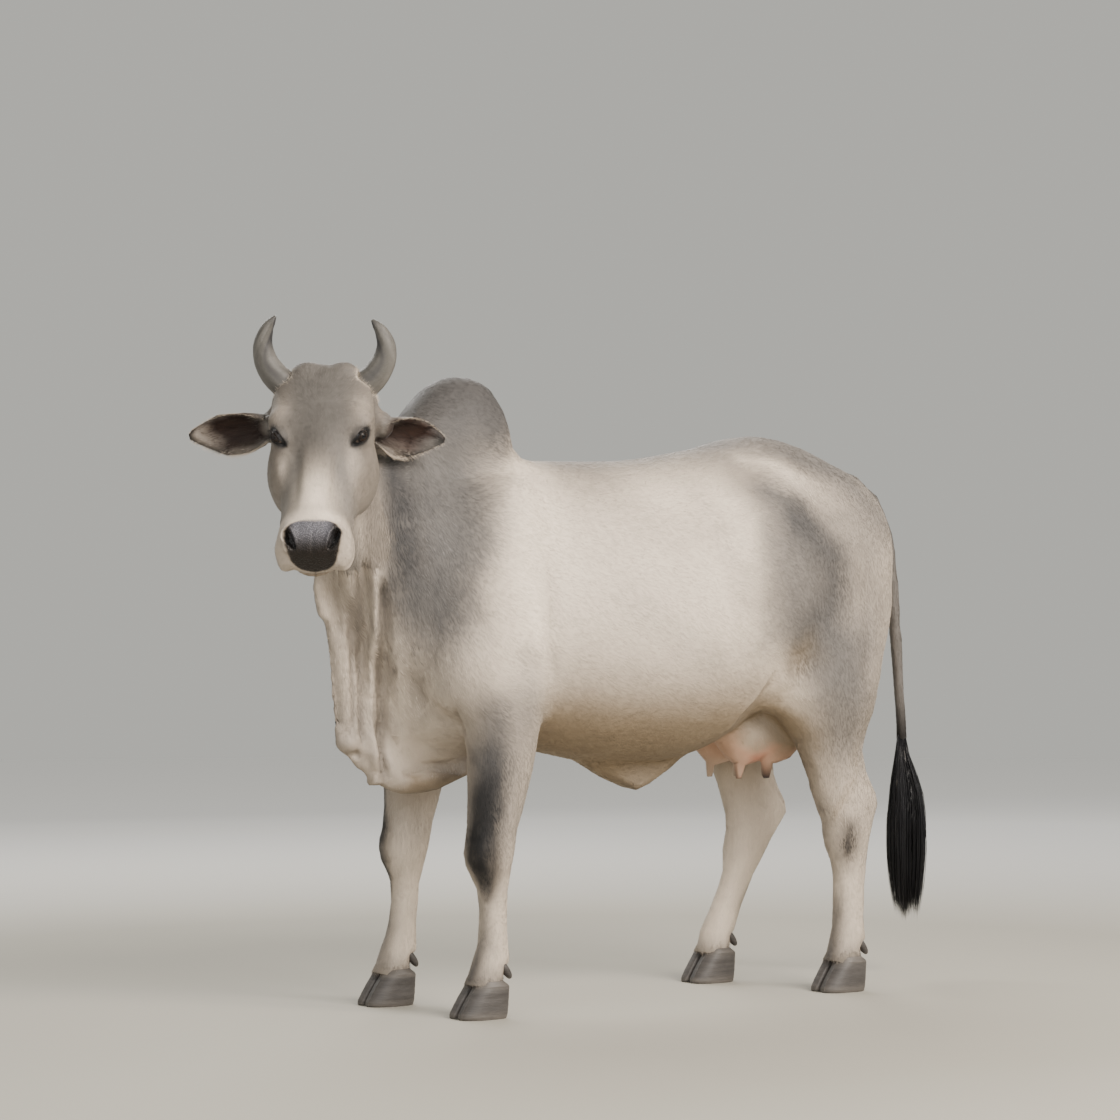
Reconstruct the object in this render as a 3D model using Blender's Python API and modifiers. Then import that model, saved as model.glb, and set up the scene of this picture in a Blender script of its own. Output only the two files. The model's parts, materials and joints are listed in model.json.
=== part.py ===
"""A humped dairy cow, life size, standing square with its head turned to its left.

The cow faces -X, its left side is towards -Y, +Z is up and its hooves stand on z = 0.
The flesh is built whole from overlapping masses, fused, smoothed and then parted with thin cuts.
"""

import math
import random
from collections import namedtuple

import bmesh
import bpy
import numpy as np
from mathutils import Matrix, Vector

# Driving dimensions, in metres
GAP = 0.0003
BACK_HEIGHT = 1.265
HUMP_TOP = 1.455
HIP_TOP = 1.345
BELLY_HEIGHT = 0.555
BARREL_HALF = 0.305
LEG_SPREAD = 0.165
KNEE_HEIGHT = 0.375
HOCK_HEIGHT = 0.455
FETLOCK_HEIGHT = 0.125
CORONET_HEIGHT = 0.062
FORE_LEFT_X = -0.515
FORE_RIGHT_X = -0.547
FORE_RIGHT_REACH = 0.022
HIND_LEFT_X = 0.486
HIND_RIGHT_X = 0.456
HIND_RIGHT_REACH = 0.122
HIND_RIGHT_SINK = 0.035

HEAD_LENGTH = 0.48
POLL = Vector((-0.918, -0.134, 1.443))
HEAD_YAW = math.radians(56)
HEAD_PITCH = math.radians(48)
HEAD_ROLL = math.radians(0.2)

EYE_RADIUS = 0.0205
EYE_PLACE = (0.184, 0.0850, -0.034)
LID_THICKNESS = 0.0045
LID_HALF_LENGTH = 0.0225
LID_HALF_OPEN = 0.0110
HORN_BASE = 0.031
EAR_LENGTH = 0.200
EAR_HALF_WIDTH = 0.047
EAR_THICKNESS = 0.007

SWITCH_TOP = 0.590
SWITCH_TIP = 0.132
TEAT_LENGTH = 0.066

# How fine the fused surfaces are
BODY_VOXEL = 0.008
HEAD_VOXEL = 0.004
BODY_TRIANGLES = 5400
HEAD_TRIANGLES = 2300

SIDES = (("left", 1.0), ("right", -1.0))
X_AXIS = Vector((1, 0, 0))
Y_AXIS = Vector((0, 1, 0))
Z_AXIS = Vector((0, 0, 1))

HEADING = Vector((-math.cos(HEAD_YAW), -math.sin(HEAD_YAW), 0))
FACE_AXIS = HEADING * math.cos(HEAD_PITCH) - Z_AXIS * math.sin(HEAD_PITCH)
FACE_UP = HEADING * math.sin(HEAD_PITCH) + Z_AXIS * math.cos(HEAD_PITCH)
FACE_UP = Matrix.Rotation(HEAD_ROLL, 3, FACE_AXIS) @ FACE_UP
HEAD_LEFT = FACE_UP.cross(FACE_AXIS)

Section = namedtuple("Section", "centre up side top low half square square_low")


def section(centre, top, low, half, up=Z_AXIS, side=Y_AXIS, square=2.0, square_low=None):
    """One oval of a loft: its reach above and below the centre, its half width and how square it is."""
    return Section(Vector(centre), Vector(up), Vector(side), top, low, half, square, square_low or square)


def head_point(x, y, z):
    """A point of the head: x from poll to nose along the face, y to the cow's left, z out of the face."""
    return POLL + FACE_AXIS * x + HEAD_LEFT * y + FACE_UP * z


def upright_point(side, forward, up):
    """A point by the head measured level: to its left, forward and up from the poll."""
    return POLL + HEAD_LEFT * side + HEADING * forward + Z_AXIS * up


def smooth_rows(rows, steps):
    """Rows of numbers read from a smooth curve through the given rows."""
    rows = np.array(rows, float)
    padded = np.vstack([2 * rows[0] - rows[1], rows, 2 * rows[-1] - rows[-2]])
    out = []
    for i in range(len(rows) - 1):
        a, b, c, d = padded[i : i + 4]
        for t in np.arange(steps) / steps:
            out.append(
                0.5
                * (2 * b + (c - a) * t + (2 * a - 5 * b + 4 * c - d) * t**2 + (3 * b - a - 3 * c + d) * t**3)
            )
    out.append(rows[-1])
    return np.array(out)


def ring_points(row, count):
    """The points of one oval, worked out from its row of numbers."""
    centre, up, side = row[0:3], row[3:6], row[6:9]
    top, low, half, square, square_low = row[9:14]
    points = []
    for k in range(count):
        angle = 2 * math.pi * k / count
        c, s = math.cos(angle), math.sin(angle)
        power = 2 / (square if s > 0 else square_low)
        across = math.copysign(abs(c) ** power, c) * half
        along = math.copysign(abs(s) ** power, s) * (top if s > 0 else low)
        points.append(centre + up * along + side * across)
    return points


def add_loft(bm, sections, count=28, steps=4):
    """Adds a closed skin through unlike ovals to bm."""
    rows = [[*s.centre, *s.up, *s.side, s.top, s.low, s.half, s.square, s.square_low] for s in sections]
    rows = smooth_rows(rows, steps)
    rings = [[bm.verts.new(p) for p in ring_points(row, count)] for row in rows]
    ends = [bm.verts.new(rows[0][0:3]), bm.verts.new(rows[-1][0:3])]
    made = []
    for a, b in zip(rings, rings[1:]):
        for k in range(count):
            n = (k + 1) % count
            made.append(bm.faces.new((a[k], a[n], b[n], b[k])))
    for k in range(count):
        n = (k + 1) % count
        made.append(bm.faces.new((ends[0], rings[0][n], rings[0][k])))
        made.append(bm.faces.new((ends[1], rings[-1][k], rings[-1][n])))
    bmesh.ops.recalc_face_normals(bm, faces=made)


def add_ball(bm, centre, radii, tilt=(0, 0, 0), basis=None, segments=24):
    """Adds an oval mass to bm, turned by tilt in degrees within its basis."""
    turn = Matrix.Identity(3)
    for axis, degrees in zip("XYZ", tilt):
        turn = Matrix.Rotation(math.radians(degrees), 3, axis) @ turn
    if basis is not None:
        turn = basis @ turn
    matrix = Matrix.Translation(centre) @ turn.to_4x4() @ Matrix.Diagonal((*radii, 1))
    bmesh.ops.create_uvsphere(bm, u_segments=segments, v_segments=segments // 2, radius=1, matrix=matrix)


HEAD_BASIS = Matrix((FACE_AXIS, HEAD_LEFT, FACE_UP)).transposed()


def add_head_ball(bm, place, radii, tilt=(0, 0, 0), segments=24):
    """Adds an oval mass at a place of the head."""
    add_ball(bm, head_point(*place), radii, tilt, HEAD_BASIS, segments)


def torso_masses(bm):
    """The barrel, shoulders and haunches."""
    stations = (
        # x, top, bottom, half width, height of the widest place, squareness above and below
        (-0.690, 1.160, 0.700, 0.095, 0.930, 2.0, 2.0),
        (-0.640, 1.205, 0.620, 0.155, 0.900, 2.0, 2.0),
        (-0.560, 1.240, 0.590, 0.200, 0.880, 1.9, 2.0),
        (-0.440, 1.258, 0.590, 0.236, 0.870, 1.8, 2.0),
        (-0.300, BACK_HEIGHT, 0.582, 0.262, 0.865, 1.8, 2.1),
        (-0.150, BACK_HEIGHT, 0.556, 0.288, 0.860, 1.8, 2.1),
        (0.000, 1.276, 0.552, BARREL_HALF, 0.860, 1.8, 2.1),
        (0.120, 1.298, 0.575, 0.300, 0.880, 1.9, 2.1),
        (0.220, 1.328, 0.625, 0.282, 0.920, 2.0, 2.0),
        (0.310, HIP_TOP, 0.680, 0.262, 0.970, 2.1, 2.0),
        (0.400, 1.330, 0.720, 0.243, 1.010, 2.1, 2.0),
        (0.510, 1.288, 0.770, 0.212, 1.030, 2.0, 2.0),
        (0.600, 1.225, 0.840, 0.155, 1.040, 2.0, 2.0),
        (0.660, 1.150, 0.950, 0.080, 1.050, 2.0, 2.0),
    )
    add_loft(
        bm,
        [
            section((x, 0, mid), top - mid, mid - low, half, square=a, square_low=b)
            for x, top, low, half, mid, a, b in stations
        ],
        count=72,
        steps=8,
    )
    for _, sign in SIDES:
        y = -sign
        add_ball(bm, (-0.505, y * 0.145, 0.970), (0.130, 0.092, 0.265), (0, 16, 0))
        add_ball(bm, (-0.530, y * 0.160, 0.790), (0.130, 0.084, 0.150), (0, -12, 0))
        add_ball(bm, (-0.420, y * 0.140, 0.760), (0.110, 0.075, 0.130), (0, 0, 0))
        add_ball(bm, (0.275, y * 0.180, 1.200), (0.110, 0.062, 0.085))
        add_ball(bm, (0.440, y * 0.130, 1.030), (0.205, 0.118, 0.240), (0, 12, 0))
        add_ball(bm, (0.590, y * 0.085, 1.110), (0.080, 0.055, 0.090))
        add_ball(bm, (0.530, y * 0.120, 0.920), (0.120, 0.095, 0.200), (0, 8, 0))
        add_ball(bm, (0.260, y * 0.170, 0.780), (0.110, 0.055, 0.120), (0, -25, 0))


def hump_mass(bm):
    """The hump over the withers, which leans back a little."""
    add_loft(
        bm,
        [
            section((-0.740, 0, 1.190), 0.010, 0.06, 0.035),
            section((-0.700, 0, 1.225), 0.055, 0.10, 0.065),
            section((-0.640, 0, 1.245), 0.125, 0.12, 0.088),
            section((-0.575, 0, 1.255), 0.180, 0.12, 0.100),
            section((-0.515, 0, 1.258), HUMP_TOP - 1.258, 0.12, 0.104),
            section((-0.460, 0, 1.260), 0.188, 0.12, 0.100),
            section((-0.420, 0, 1.262), 0.160, 0.11, 0.088),
            section((-0.395, 0, 1.262), 0.112, 0.10, 0.070),
            section((-0.378, 0, 1.255), 0.040, 0.09, 0.045),
        ],
        count=28,
    )


def neck_masses(bm):
    """The neck, from the shoulders to the back of the skull."""
    add_loft(
        bm,
        [
            section((-0.450, 0, 0.950), 0.27, 0.32, 0.200),
            section((-0.590, -0.003, 0.980), 0.255, 0.30, 0.178, up=(0.12, 0, 0.99)),
            section((-0.680, -0.018, 1.050), 0.215, 0.26, 0.142, up=(0.32, 0.05, 0.94), side=(0.1, 1, 0)),
            section((-0.760, -0.042, 1.150), 0.176, 0.200, 0.116, up=(0.5, 0.1, 0.86), side=(0.25, 0.97, 0)),
            section((-0.828, -0.078, 1.250), 0.138, 0.160, 0.104, up=(0.6, 0.2, 0.77), side=(0.45, 0.9, 0)),
            section((-0.890, -0.120, 1.330), 0.080, 0.100, 0.084, up=(0.6, 0.3, 0.74), side=(0.6, 0.8, 0)),
        ],
        count=32,
    )


DEWLAP_EDGE = (
    # x, y and height of the free edge, and how far back and up it is rooted
    (-0.848, -0.062, 1.150, 0.030, 0.040),
    (-0.878, -0.045, 1.075, 0.070, 0.050),
    (-0.890, -0.032, 0.985, 0.120, 0.060),
    (-0.862, -0.022, 0.860, 0.170, 0.060),
    (-0.842, -0.012, 0.735, 0.200, 0.070),
    (-0.826, -0.005, 0.645, 0.210, 0.100),
    (-0.785, 0.000, 0.575, 0.190, 0.150),
    (-0.700, 0.000, 0.508, 0.140, 0.190),
    (-0.620, 0.000, 0.490, 0.090, 0.190),
    (-0.530, 0.000, 0.510, 0.050, 0.150),
    (-0.430, 0.000, 0.555, 0.040, 0.100),
)
DEWLAP_HALF = 0.014


def dewlap_mass(bm):
    """The loose fold of skin from the throat to between the forelegs, pleated along its edge."""
    rows = smooth_rows(DEWLAP_EDGE, 6)
    depth_steps = 19
    columns = []
    for i, (x, y, z, back, rise) in enumerate(rows):
        along = i / (len(rows) - 1)
        column = []
        for j in range(depth_steps):
            share = j / (depth_steps - 1)
            depth = 0.013 * math.sin(math.pi * min(1.0, 1.4 * share + 0.1)) * (0.6 + 0.8 * along)
            pleat = depth * math.sin(2 * math.pi * (2.4 * share + 0.35 * along) + 0.5)
            column.append(Vector((x + back * share, y + pleat, z + rise * share)))
        columns.append(column)
    both = []
    for turn in (1, -1):
        sheet = []
        for column in columns:
            line = []
            for j, point in enumerate(column):
                share = j / (depth_steps - 1)
                half = DEWLAP_HALF * (0.8 + 1.9 * share)
                line.append(bm.verts.new(point + Vector((0, turn * half, 0))))
            sheet.append(line)
        both.append(sheet)
    made = []
    count, last = len(columns), depth_steps - 1
    for sheet in both:
        for i in range(count - 1):
            for j in range(last):
                made.append(
                    bm.faces.new((sheet[i][j], sheet[i + 1][j], sheet[i + 1][j + 1], sheet[i][j + 1]))
                )
    one, two = both
    for i in range(count - 1):
        for j in (0, last):
            made.append(bm.faces.new((one[i][j], one[i + 1][j], two[i + 1][j], two[i][j])))
    for j in range(last):
        for i in (0, count - 1):
            made.append(bm.faces.new((one[i][j], one[i][j + 1], two[i][j + 1], two[i][j])))
    bmesh.ops.recalc_face_normals(bm, faces=made)


def belly_masses(bm):
    """The navel flap and the udder."""
    add_loft(
        bm,
        [
            section((-0.200, 0, 0.600), 0.03, 0.03, 0.05),
            section((-0.120, 0, 0.580), 0.05, 0.060, 0.055),
            section((-0.050, 0, 0.565), 0.06, 0.075, 0.040),
            section((-0.015, 0, 0.560), 0.06, 0.078, 0.036),
            section((0.050, 0, 0.570), 0.06, 0.055, 0.045),
            section((0.120, 0, 0.600), 0.03, 0.03, 0.05),
        ],
        count=24,
    )
    for _, sign in SIDES:
        y = -sign * 0.052
        add_ball(bm, (0.262, y, 0.640), (0.090, 0.064, 0.100))
        add_ball(bm, (0.352, y, 0.640), (0.085, 0.064, 0.098))
    for x in TEAT_X:
        for _, sign in SIDES:
            teat_mass(bm, x, -sign * TEAT_Y)


TEAT_X = (0.242, 0.322)
TEAT_Y = 0.055
TEAT_TOP = 0.566


def teat_mass(bm, x, y):
    """One teat, a blunt finger that hangs a little outwards."""
    spread = 0.012 * (1 if y > 0 else -1)
    rows = ((0.030, 0.020), (0.0, 0.0155), (-0.020, 0.0130), (-0.040, 0.0122), (-TEAT_LENGTH, 0.0085))
    add_loft(
        bm,
        [
            section(
                (x, y + spread * (0.03 - h) / 0.08, TEAT_TOP + h), r, r, r, up=(-1, 0, 0), side=(0, 1, 0)
            )
            for h, r in rows
        ],
        count=16,
        steps=3,
    )


FORELEG = (
    # height, forward shift, reach to the front and to the back, half width, inward shift
    (0.900, -0.010, 0.100, 0.110, 0.080, 0.030),
    (0.800, -0.015, 0.108, 0.112, 0.086, 0.012),
    (0.720, -0.022, 0.106, 0.106, 0.080, 0.004),
    (0.660, -0.028, 0.094, 0.096, 0.072, 0.0),
    (0.594, -0.030, 0.084, 0.083, 0.065, 0.0),
    (0.509, -0.022, 0.074, 0.072, 0.059, 0.0),
    (0.430, -0.009, 0.063, 0.060, 0.054, 0.0),
    (0.385, -0.001, 0.062, 0.058, 0.054, 0.0),
    (0.355, 0.002, 0.061, 0.056, 0.054, 0.0),
    (0.327, 0.001, 0.052, 0.049, 0.050, 0.0),
    (0.298, -0.004, 0.039, 0.040, 0.041, 0.0),
    (0.265, -0.007, 0.033, 0.036, 0.034, 0.0),
    (0.210, -0.006, 0.032, 0.037, 0.031, 0.0),
    (0.165, -0.004, 0.034, 0.041, 0.033, 0.0),
    (FETLOCK_HEIGHT, 0.002, 0.041, 0.047, 0.042, 0.0),
    (0.095, 0.012, 0.040, 0.043, 0.041, 0.0),
    (CORONET_HEIGHT, 0.024, 0.048, 0.050, 0.048, 0.0),
    (0.030, 0.030, 0.046, 0.048, 0.046, 0.0),
)

HINDLEG = (
    (1.000, -0.010, 0.170, 0.110, 0.090, 0.040),
    (0.900, 0.020, 0.200, 0.150, 0.105, 0.025),
    (0.800, 0.045, 0.215, 0.150, 0.102, 0.012),
    (0.730, 0.052, 0.205, 0.142, 0.092, 0.004),
    (0.670, 0.053, 0.165, 0.120, 0.078, 0.0),
    (0.620, 0.052, 0.115, 0.096, 0.067, 0.0),
    (0.575, 0.048, 0.090, 0.084, 0.060, 0.0),
    (0.530, 0.036, 0.083, 0.084, 0.054, 0.0),
    (0.495, 0.026, 0.082, 0.094, 0.051, 0.0),
    (0.465, 0.016, 0.082, 0.102, 0.050, 0.0),
    (0.435, 0.007, 0.076, 0.090, 0.051, 0.0),
    (0.400, 0.003, 0.066, 0.072, 0.051, 0.0),
    (0.352, 0.003, 0.060, 0.059, 0.046, 0.0),
    (0.302, -0.002, 0.045, 0.048, 0.038, 0.0),
    (0.250, -0.002, 0.041, 0.044, 0.034, 0.0),
    (0.170, 0.000, 0.041, 0.044, 0.034, 0.0),
    (FETLOCK_HEIGHT, 0.002, 0.044, 0.049, 0.042, 0.0),
    (0.095, 0.012, 0.041, 0.043, 0.041, 0.0),
    (CORONET_HEIGHT, 0.024, 0.048, 0.050, 0.048, 0.0),
    (0.030, 0.030, 0.046, 0.048, 0.046, 0.0),
)

# Each leg: its rows, the x it stands at, how far its foot reaches ahead and from what height down, its side
# and how far its joint sinks
LEGS = {
    "foreleg_left": (FORELEG, FORE_LEFT_X, 0.0, KNEE_HEIGHT, 1.0, 0.0),
    "foreleg_right": (FORELEG, FORE_RIGHT_X, FORE_RIGHT_REACH, KNEE_HEIGHT, -1.0, 0.0),
    "hindleg_left": (HINDLEG, HIND_LEFT_X, 0.0, HOCK_HEIGHT, 1.0, 0.0),
    "hindleg_right": (HINDLEG, HIND_RIGHT_X, HIND_RIGHT_REACH, HOCK_HEIGHT, -1.0, HIND_RIGHT_SINK),
}


def leg_centre(leg, height, forward, inward):
    """The middle of a leg at a height, with the foot's reach shared out below the joint."""
    _, x, reach, joint, sign, sink = LEGS[leg]
    share = max(0.0, min(1.0, (joint - height) / (joint - FETLOCK_HEIGHT)))
    drop = sink * max(0.0, min(1.0, (height - 0.15) / 0.20, (0.80 - height) / 0.25))
    return Vector((x - forward - reach * share, -sign * (LEG_SPREAD - inward), height - drop))


def leg_mass(bm, leg):
    """A whole leg, from inside the body down into the hooves."""
    rows = LEGS[leg][0]
    add_loft(
        bm,
        [
            section(leg_centre(leg, h, f, inward), front, back, half, up=(-1, 0, 0), square=2.15)
            for h, f, front, back, half, inward in rows
        ],
        count=28,
        steps=3,
    )


def head_masses(bm):
    """The skull, jaws and muzzle."""
    rows = (
        # x, top, bottom, half width, height of the widest place, squareness above and below
        (-0.040, -0.046, -0.110, 0.068, -0.072, 2.0, 2.0),
        (-0.010, -0.012, -0.160, 0.098, -0.058, 2.2, 2.0),
        (0.040, 0.006, -0.200, 0.115, -0.055, 2.6, 1.9),
        (0.100, 0.011, -0.225, 0.117, -0.060, 3.0, 1.8),
        (0.160, 0.002, -0.240, 0.112, -0.075, 2.8, 1.8),
        (0.215, -0.016, -0.240, 0.105, -0.105, 2.2, 1.9),
        (0.270, -0.030, -0.222, 0.092, -0.125, 2.0, 2.0),
        (0.325, -0.040, -0.198, 0.080, -0.125, 2.0, 2.2),
        (0.375, -0.044, -0.180, 0.077, -0.112, 2.1, 2.3),
        (0.420, -0.048, -0.172, 0.079, -0.106, 2.3, 2.3),
        (0.455, -0.060, -0.163, 0.076, -0.108, 2.3, 2.2),
        (0.480, -0.088, -0.148, 0.054, -0.116, 2.1, 2.1),
    )
    add_loft(bm, head_sections(rows), count=48, steps=6)
    bridge = (
        (0.030, 0.000, -0.080, 0.050, -0.040, 2.0, 2.0),
        (0.100, 0.013, -0.100, 0.070, -0.040, 2.2, 2.0),
        (0.180, 0.000, -0.110, 0.056, -0.050, 2.2, 2.0),
        (0.260, -0.018, -0.120, 0.047, -0.060, 2.3, 2.0),
        (0.340, -0.032, -0.120, 0.044, -0.070, 2.3, 2.0),
        (0.400, -0.039, -0.120, 0.050, -0.075, 2.2, 2.0),
        (0.440, -0.052, -0.120, 0.052, -0.085, 2.2, 2.0),
        (0.462, -0.078, -0.115, 0.040, -0.095, 2.0, 2.0),
    )
    add_loft(bm, head_sections(bridge), count=40, steps=6)
    for _, sign in SIDES:
        add_head_ball(bm, (0.156, sign * 0.086, -0.036), (0.056, 0.030, 0.026), (0, 6, -sign * 14))
        add_head_ball(bm, (0.210, sign * 0.084, -0.130), (0.092, 0.034, 0.080), (0, 10, -sign * 7))
        add_head_ball(bm, (0.262, sign * 0.056, -0.085), (0.070, 0.026, 0.030), (0, 0, -sign * 12))
        add_head_ball(bm, (0.014, sign * 0.042, -0.028), (0.042, 0.042, 0.040))
        add_head_ball(bm, (0.440, sign * 0.045, -0.079), (0.040, 0.028, 0.026), (0, 25, 0))
        add_head_ball(bm, (0.428, sign * 0.060, -0.128), (0.054, 0.026, 0.042), (0, 12, 0))
        ear_base = upright_point(sign * 0.112, -0.018, -0.128)
        add_ball(bm, ear_base, (0.036, 0.042, 0.038), (0, 0, 0), HEAD_BASIS)
        place = (EYE_PLACE[0], sign * EYE_PLACE[1], EYE_PLACE[2])
        add_head_ball(bm, place, (EYE_RADIUS + 2 * LID_THICKNESS, *(EYE_RADIUS + LID_THICKNESS,) * 2))
        add_head_ball(bm, (0.080, sign * 0.090, -0.080), (0.050, 0.034, 0.050))
    add_head_ball(bm, (0.440, 0, -0.162), (0.036, 0.046, 0.022))


def head_sections(rows):
    """Ovals square to the face, each reaching from its bottom to its top."""
    sections = []
    for x, top, low, half, mid, a, b in rows:
        centre = head_point(x, 0, mid)
        sections.append(section(centre, top - mid, mid - low, half, FACE_UP, HEAD_LEFT, a, b))
    return sections


HORN_PATH = (
    # to the side, forward and up from the poll, and the radius
    (0.062, -0.022, -0.060, 0.0315),
    (0.092, -0.018, -0.036, 0.0320),
    (0.115, -0.013, -0.012, 0.0300),
    (0.131, -0.006, 0.018, 0.0260),
    (0.135, 0.004, 0.052, 0.0210),
    (0.126, 0.013, 0.083, 0.0150),
    (0.115, 0.018, 0.100, 0.0095),
    (0.107, 0.020, 0.111, 0.0040),
)


# How far each horn rises, as a share of the path's height
HORN_RISE = {1.0: 0.885, -1.0: 0.97}


def path_loft(bm, points, radii, count=12, steps=2, flat=1.0, side=None):
    """Adds a round limb along a path of points; flat narrows it across the given side."""
    points = [Vector(p) for p in points]
    sections = []
    for i, point in enumerate(points):
        before, after = points[max(i - 1, 0)], points[min(i + 1, len(points) - 1)]
        along = (after - before).normalized()
        across = (side or (X_AXIS if abs(along.x) < 0.9 else Z_AXIS)).copy()
        across = (across - along * across.dot(along)).normalized()
        up = along.cross(across)
        sections.append(section(point, radii[i], radii[i], radii[i] * flat, up, across))
    add_loft(bm, sections, count, steps)


def new_object(name, fill, *args, **options):
    """A new object whose mesh is filled in by a function."""
    bm = bmesh.new()
    fill(bm, *args, **options)
    bmesh.ops.triangulate(bm, faces=bm.faces)
    mesh = bpy.data.meshes.new(name)
    bm.to_mesh(mesh)
    bm.free()
    obj = bpy.data.objects.new(name, mesh)
    bpy.context.scene.collection.objects.link(obj)
    return obj


def horn_shape(bm, sign):
    """A horn that rises outwards and curves in at the tip."""
    rise = HORN_RISE[sign]
    points = []
    for side, forward, up, _ in HORN_PATH:
        points.append(upright_point(sign * side, forward, up * (rise if up > 0 else 1)))
    path_loft(bm, points, [row[3] for row in HORN_PATH], count=10, steps=2, side=FACE_UP)


# Where each ear is rooted and which way it points: to the side, forward and up; the left one is laid back
EAR_ROOT = {1.0: (0.092, -0.012, -0.132), -1.0: (0.104, -0.012, -0.126)}
EAR_AIM = {1.0: Vector((0.80, -0.56, -0.15)).normalized(), -1.0: Vector((1.0, -0.06, -0.16)).normalized()}
EAR_ROWS = (
    # share of the length, share of the half width, half angle of the cup in degrees
    (0.00, 0.56, 142),
    (0.10, 0.64, 132),
    (0.20, 0.75, 114),
    (0.31, 0.89, 94),
    (0.43, 0.99, 78),
    (0.55, 1.00, 66),
    (0.67, 0.90, 56),
    (0.78, 0.72, 48),
    (0.88, 0.50, 42),
    (0.96, 0.28, 39),
    (1.00, 0.12, 38),
)


def ear_shape(bm, sign):
    """A leaf-shaped cupped ear, open to the front, with its root sunk in the head."""
    across_steps = 8
    sag = 0.006
    aim = EAR_AIM[sign]
    axis = (HEAD_LEFT * sign * aim.x + HEADING * aim.y + Z_AXIS * aim.z).normalized()
    front = HEADING * 0.93 - Z_AXIS * 0.28 + HEAD_LEFT * sign * 0.15
    front = (front - axis * front.dot(axis)).normalized()
    wide = axis.cross(front) * sign
    side, forward, up = EAR_ROOT[sign]
    root = upright_point(sign * side, forward, up)
    inner, outer = [], []
    for t, share, cup in EAR_ROWS:
        curl = math.radians(cup)
        radius = EAR_HALF_WIDTH * share / math.sin(min(curl, math.pi / 2))
        spine = root + axis * (EAR_LENGTH * t) + wide * (sag * (math.sin(math.pi * t) - t))
        thick = EAR_THICKNESS * (1.15 - 0.50 * t)
        rows = ([], [])
        for j in range(across_steps + 1):
            angle = curl * (2 * j / across_steps - 1)
            offset = wide * math.sin(angle) - front * math.cos(angle)
            centre = spine + front * (radius * 0.55)
            edge = 1 - 0.55 * abs(2 * j / across_steps - 1) ** 6
            rows[0].append(bm.verts.new(centre + offset * (radius - thick * edge / 2)))
            rows[1].append(bm.verts.new(centre + offset * (radius + thick * edge / 2)))
        inner.append(rows[0])
        outer.append(rows[1])
    close_sheet(bm, inner, outer)


def close_sheet(bm, one, two):
    """Joins two grids of vertices with the same layout into one closed thin body."""
    made = []
    rows, columns = len(one), len(one[0])
    for grid in (one, two):
        for i in range(rows - 1):
            for j in range(columns - 1):
                corners = (grid[i][j], grid[i + 1][j], grid[i + 1][j + 1], grid[i][j + 1])
                made.append(bm.faces.new(corners))
    for i in range(rows - 1):
        for j in (0, columns - 1):
            made.append(bm.faces.new((one[i][j], one[i + 1][j], two[i + 1][j], two[i][j])))
    for j in range(columns - 1):
        for i in (0, rows - 1):
            made.append(bm.faces.new((one[i][j], one[i][j + 1], two[i][j + 1], two[i][j])))
    bmesh.ops.recalc_face_normals(bm, faces=made)


TAIL_PATH = (
    # x, y, height, radius
    (0.560, 0.000, 1.240, 0.030),
    (0.622, 0.000, 1.226, 0.029),
    (0.686, 0.000, 1.178, 0.026),
    (0.730, 0.000, 1.090, 0.0225),
    (0.752, 0.000, 0.970, 0.0190),
    (0.764, 0.000, 0.840, 0.0165),
    (0.774, 0.000, 0.710, 0.0150),
    (0.781, 0.000, SWITCH_TOP + 0.04, 0.0145),
    (0.781, 0.000, SWITCH_TOP, 0.0145),
)


def tail_root_mass(bm):
    """The flesh of the rump that the tail grows from."""
    rows = [(0.500, 0, 1.235, 0.033), *TAIL_PATH[:4]]
    path_loft(bm, [r[:3] for r in rows], [r[3] + 0.001 for r in rows], side=Y_AXIS)


def tail_shape(bm):
    """The bare tail down to the tuft."""
    path_loft(bm, [r[:3] for r in TAIL_PATH], [r[3] for r in TAIL_PATH], count=12, steps=1, side=Y_AXIS)


SWITCH_ROWS = (
    # height, radius of the whole tuft and of its core
    (SWITCH_TOP - GAP, 0.0145, 0.0145),
    (0.560, 0.0190, 0.0160),
    (0.520, 0.0290, 0.0200),
    (0.470, 0.0400, 0.0240),
    (0.400, 0.0470, 0.0260),
    (0.320, 0.0475, 0.0250),
    (0.250, 0.0460, 0.0210),
    (0.200, 0.0440, 0.0120),
    (SWITCH_TIP, 0.0360, 0.0040),
)
SWITCH_FLAT = 0.75


def switch_x(z):
    """Where the middle of the tuft is at a height: it hangs a little behind the tail's end."""
    return 0.781 + 0.016 * min(1.0, max(0.0, (SWITCH_TOP - 0.02 - z) / 0.12))


def switch_core(bm):
    """The body of the tail's tuft, half as thick as the tuft itself."""
    add_loft(
        bm,
        [
            section((switch_x(z), 0, z), r, r, r * SWITCH_FLAT, up=(-1, 0, 0), side=(0, 1, 0))
            for z, _, r in SWITCH_ROWS[:-1]
        ],
        count=12,
        steps=1,
    )


def switch_radius(z):
    """How far the tuft reaches from its middle at a height."""
    heights = [row[0] for row in SWITCH_ROWS][::-1]
    return float(np.interp(z, heights, [row[1] for row in SWITCH_ROWS][::-1]))


SWITCH_TIERS = (
    # height of the roots, length, locks in the tier, how far out of the core they start
    (0.545, 0.225, 6, 0.55),
    (0.470, 0.265, 8, 0.50),
    (0.370, 0.230, 8, 0.42),
)


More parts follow.
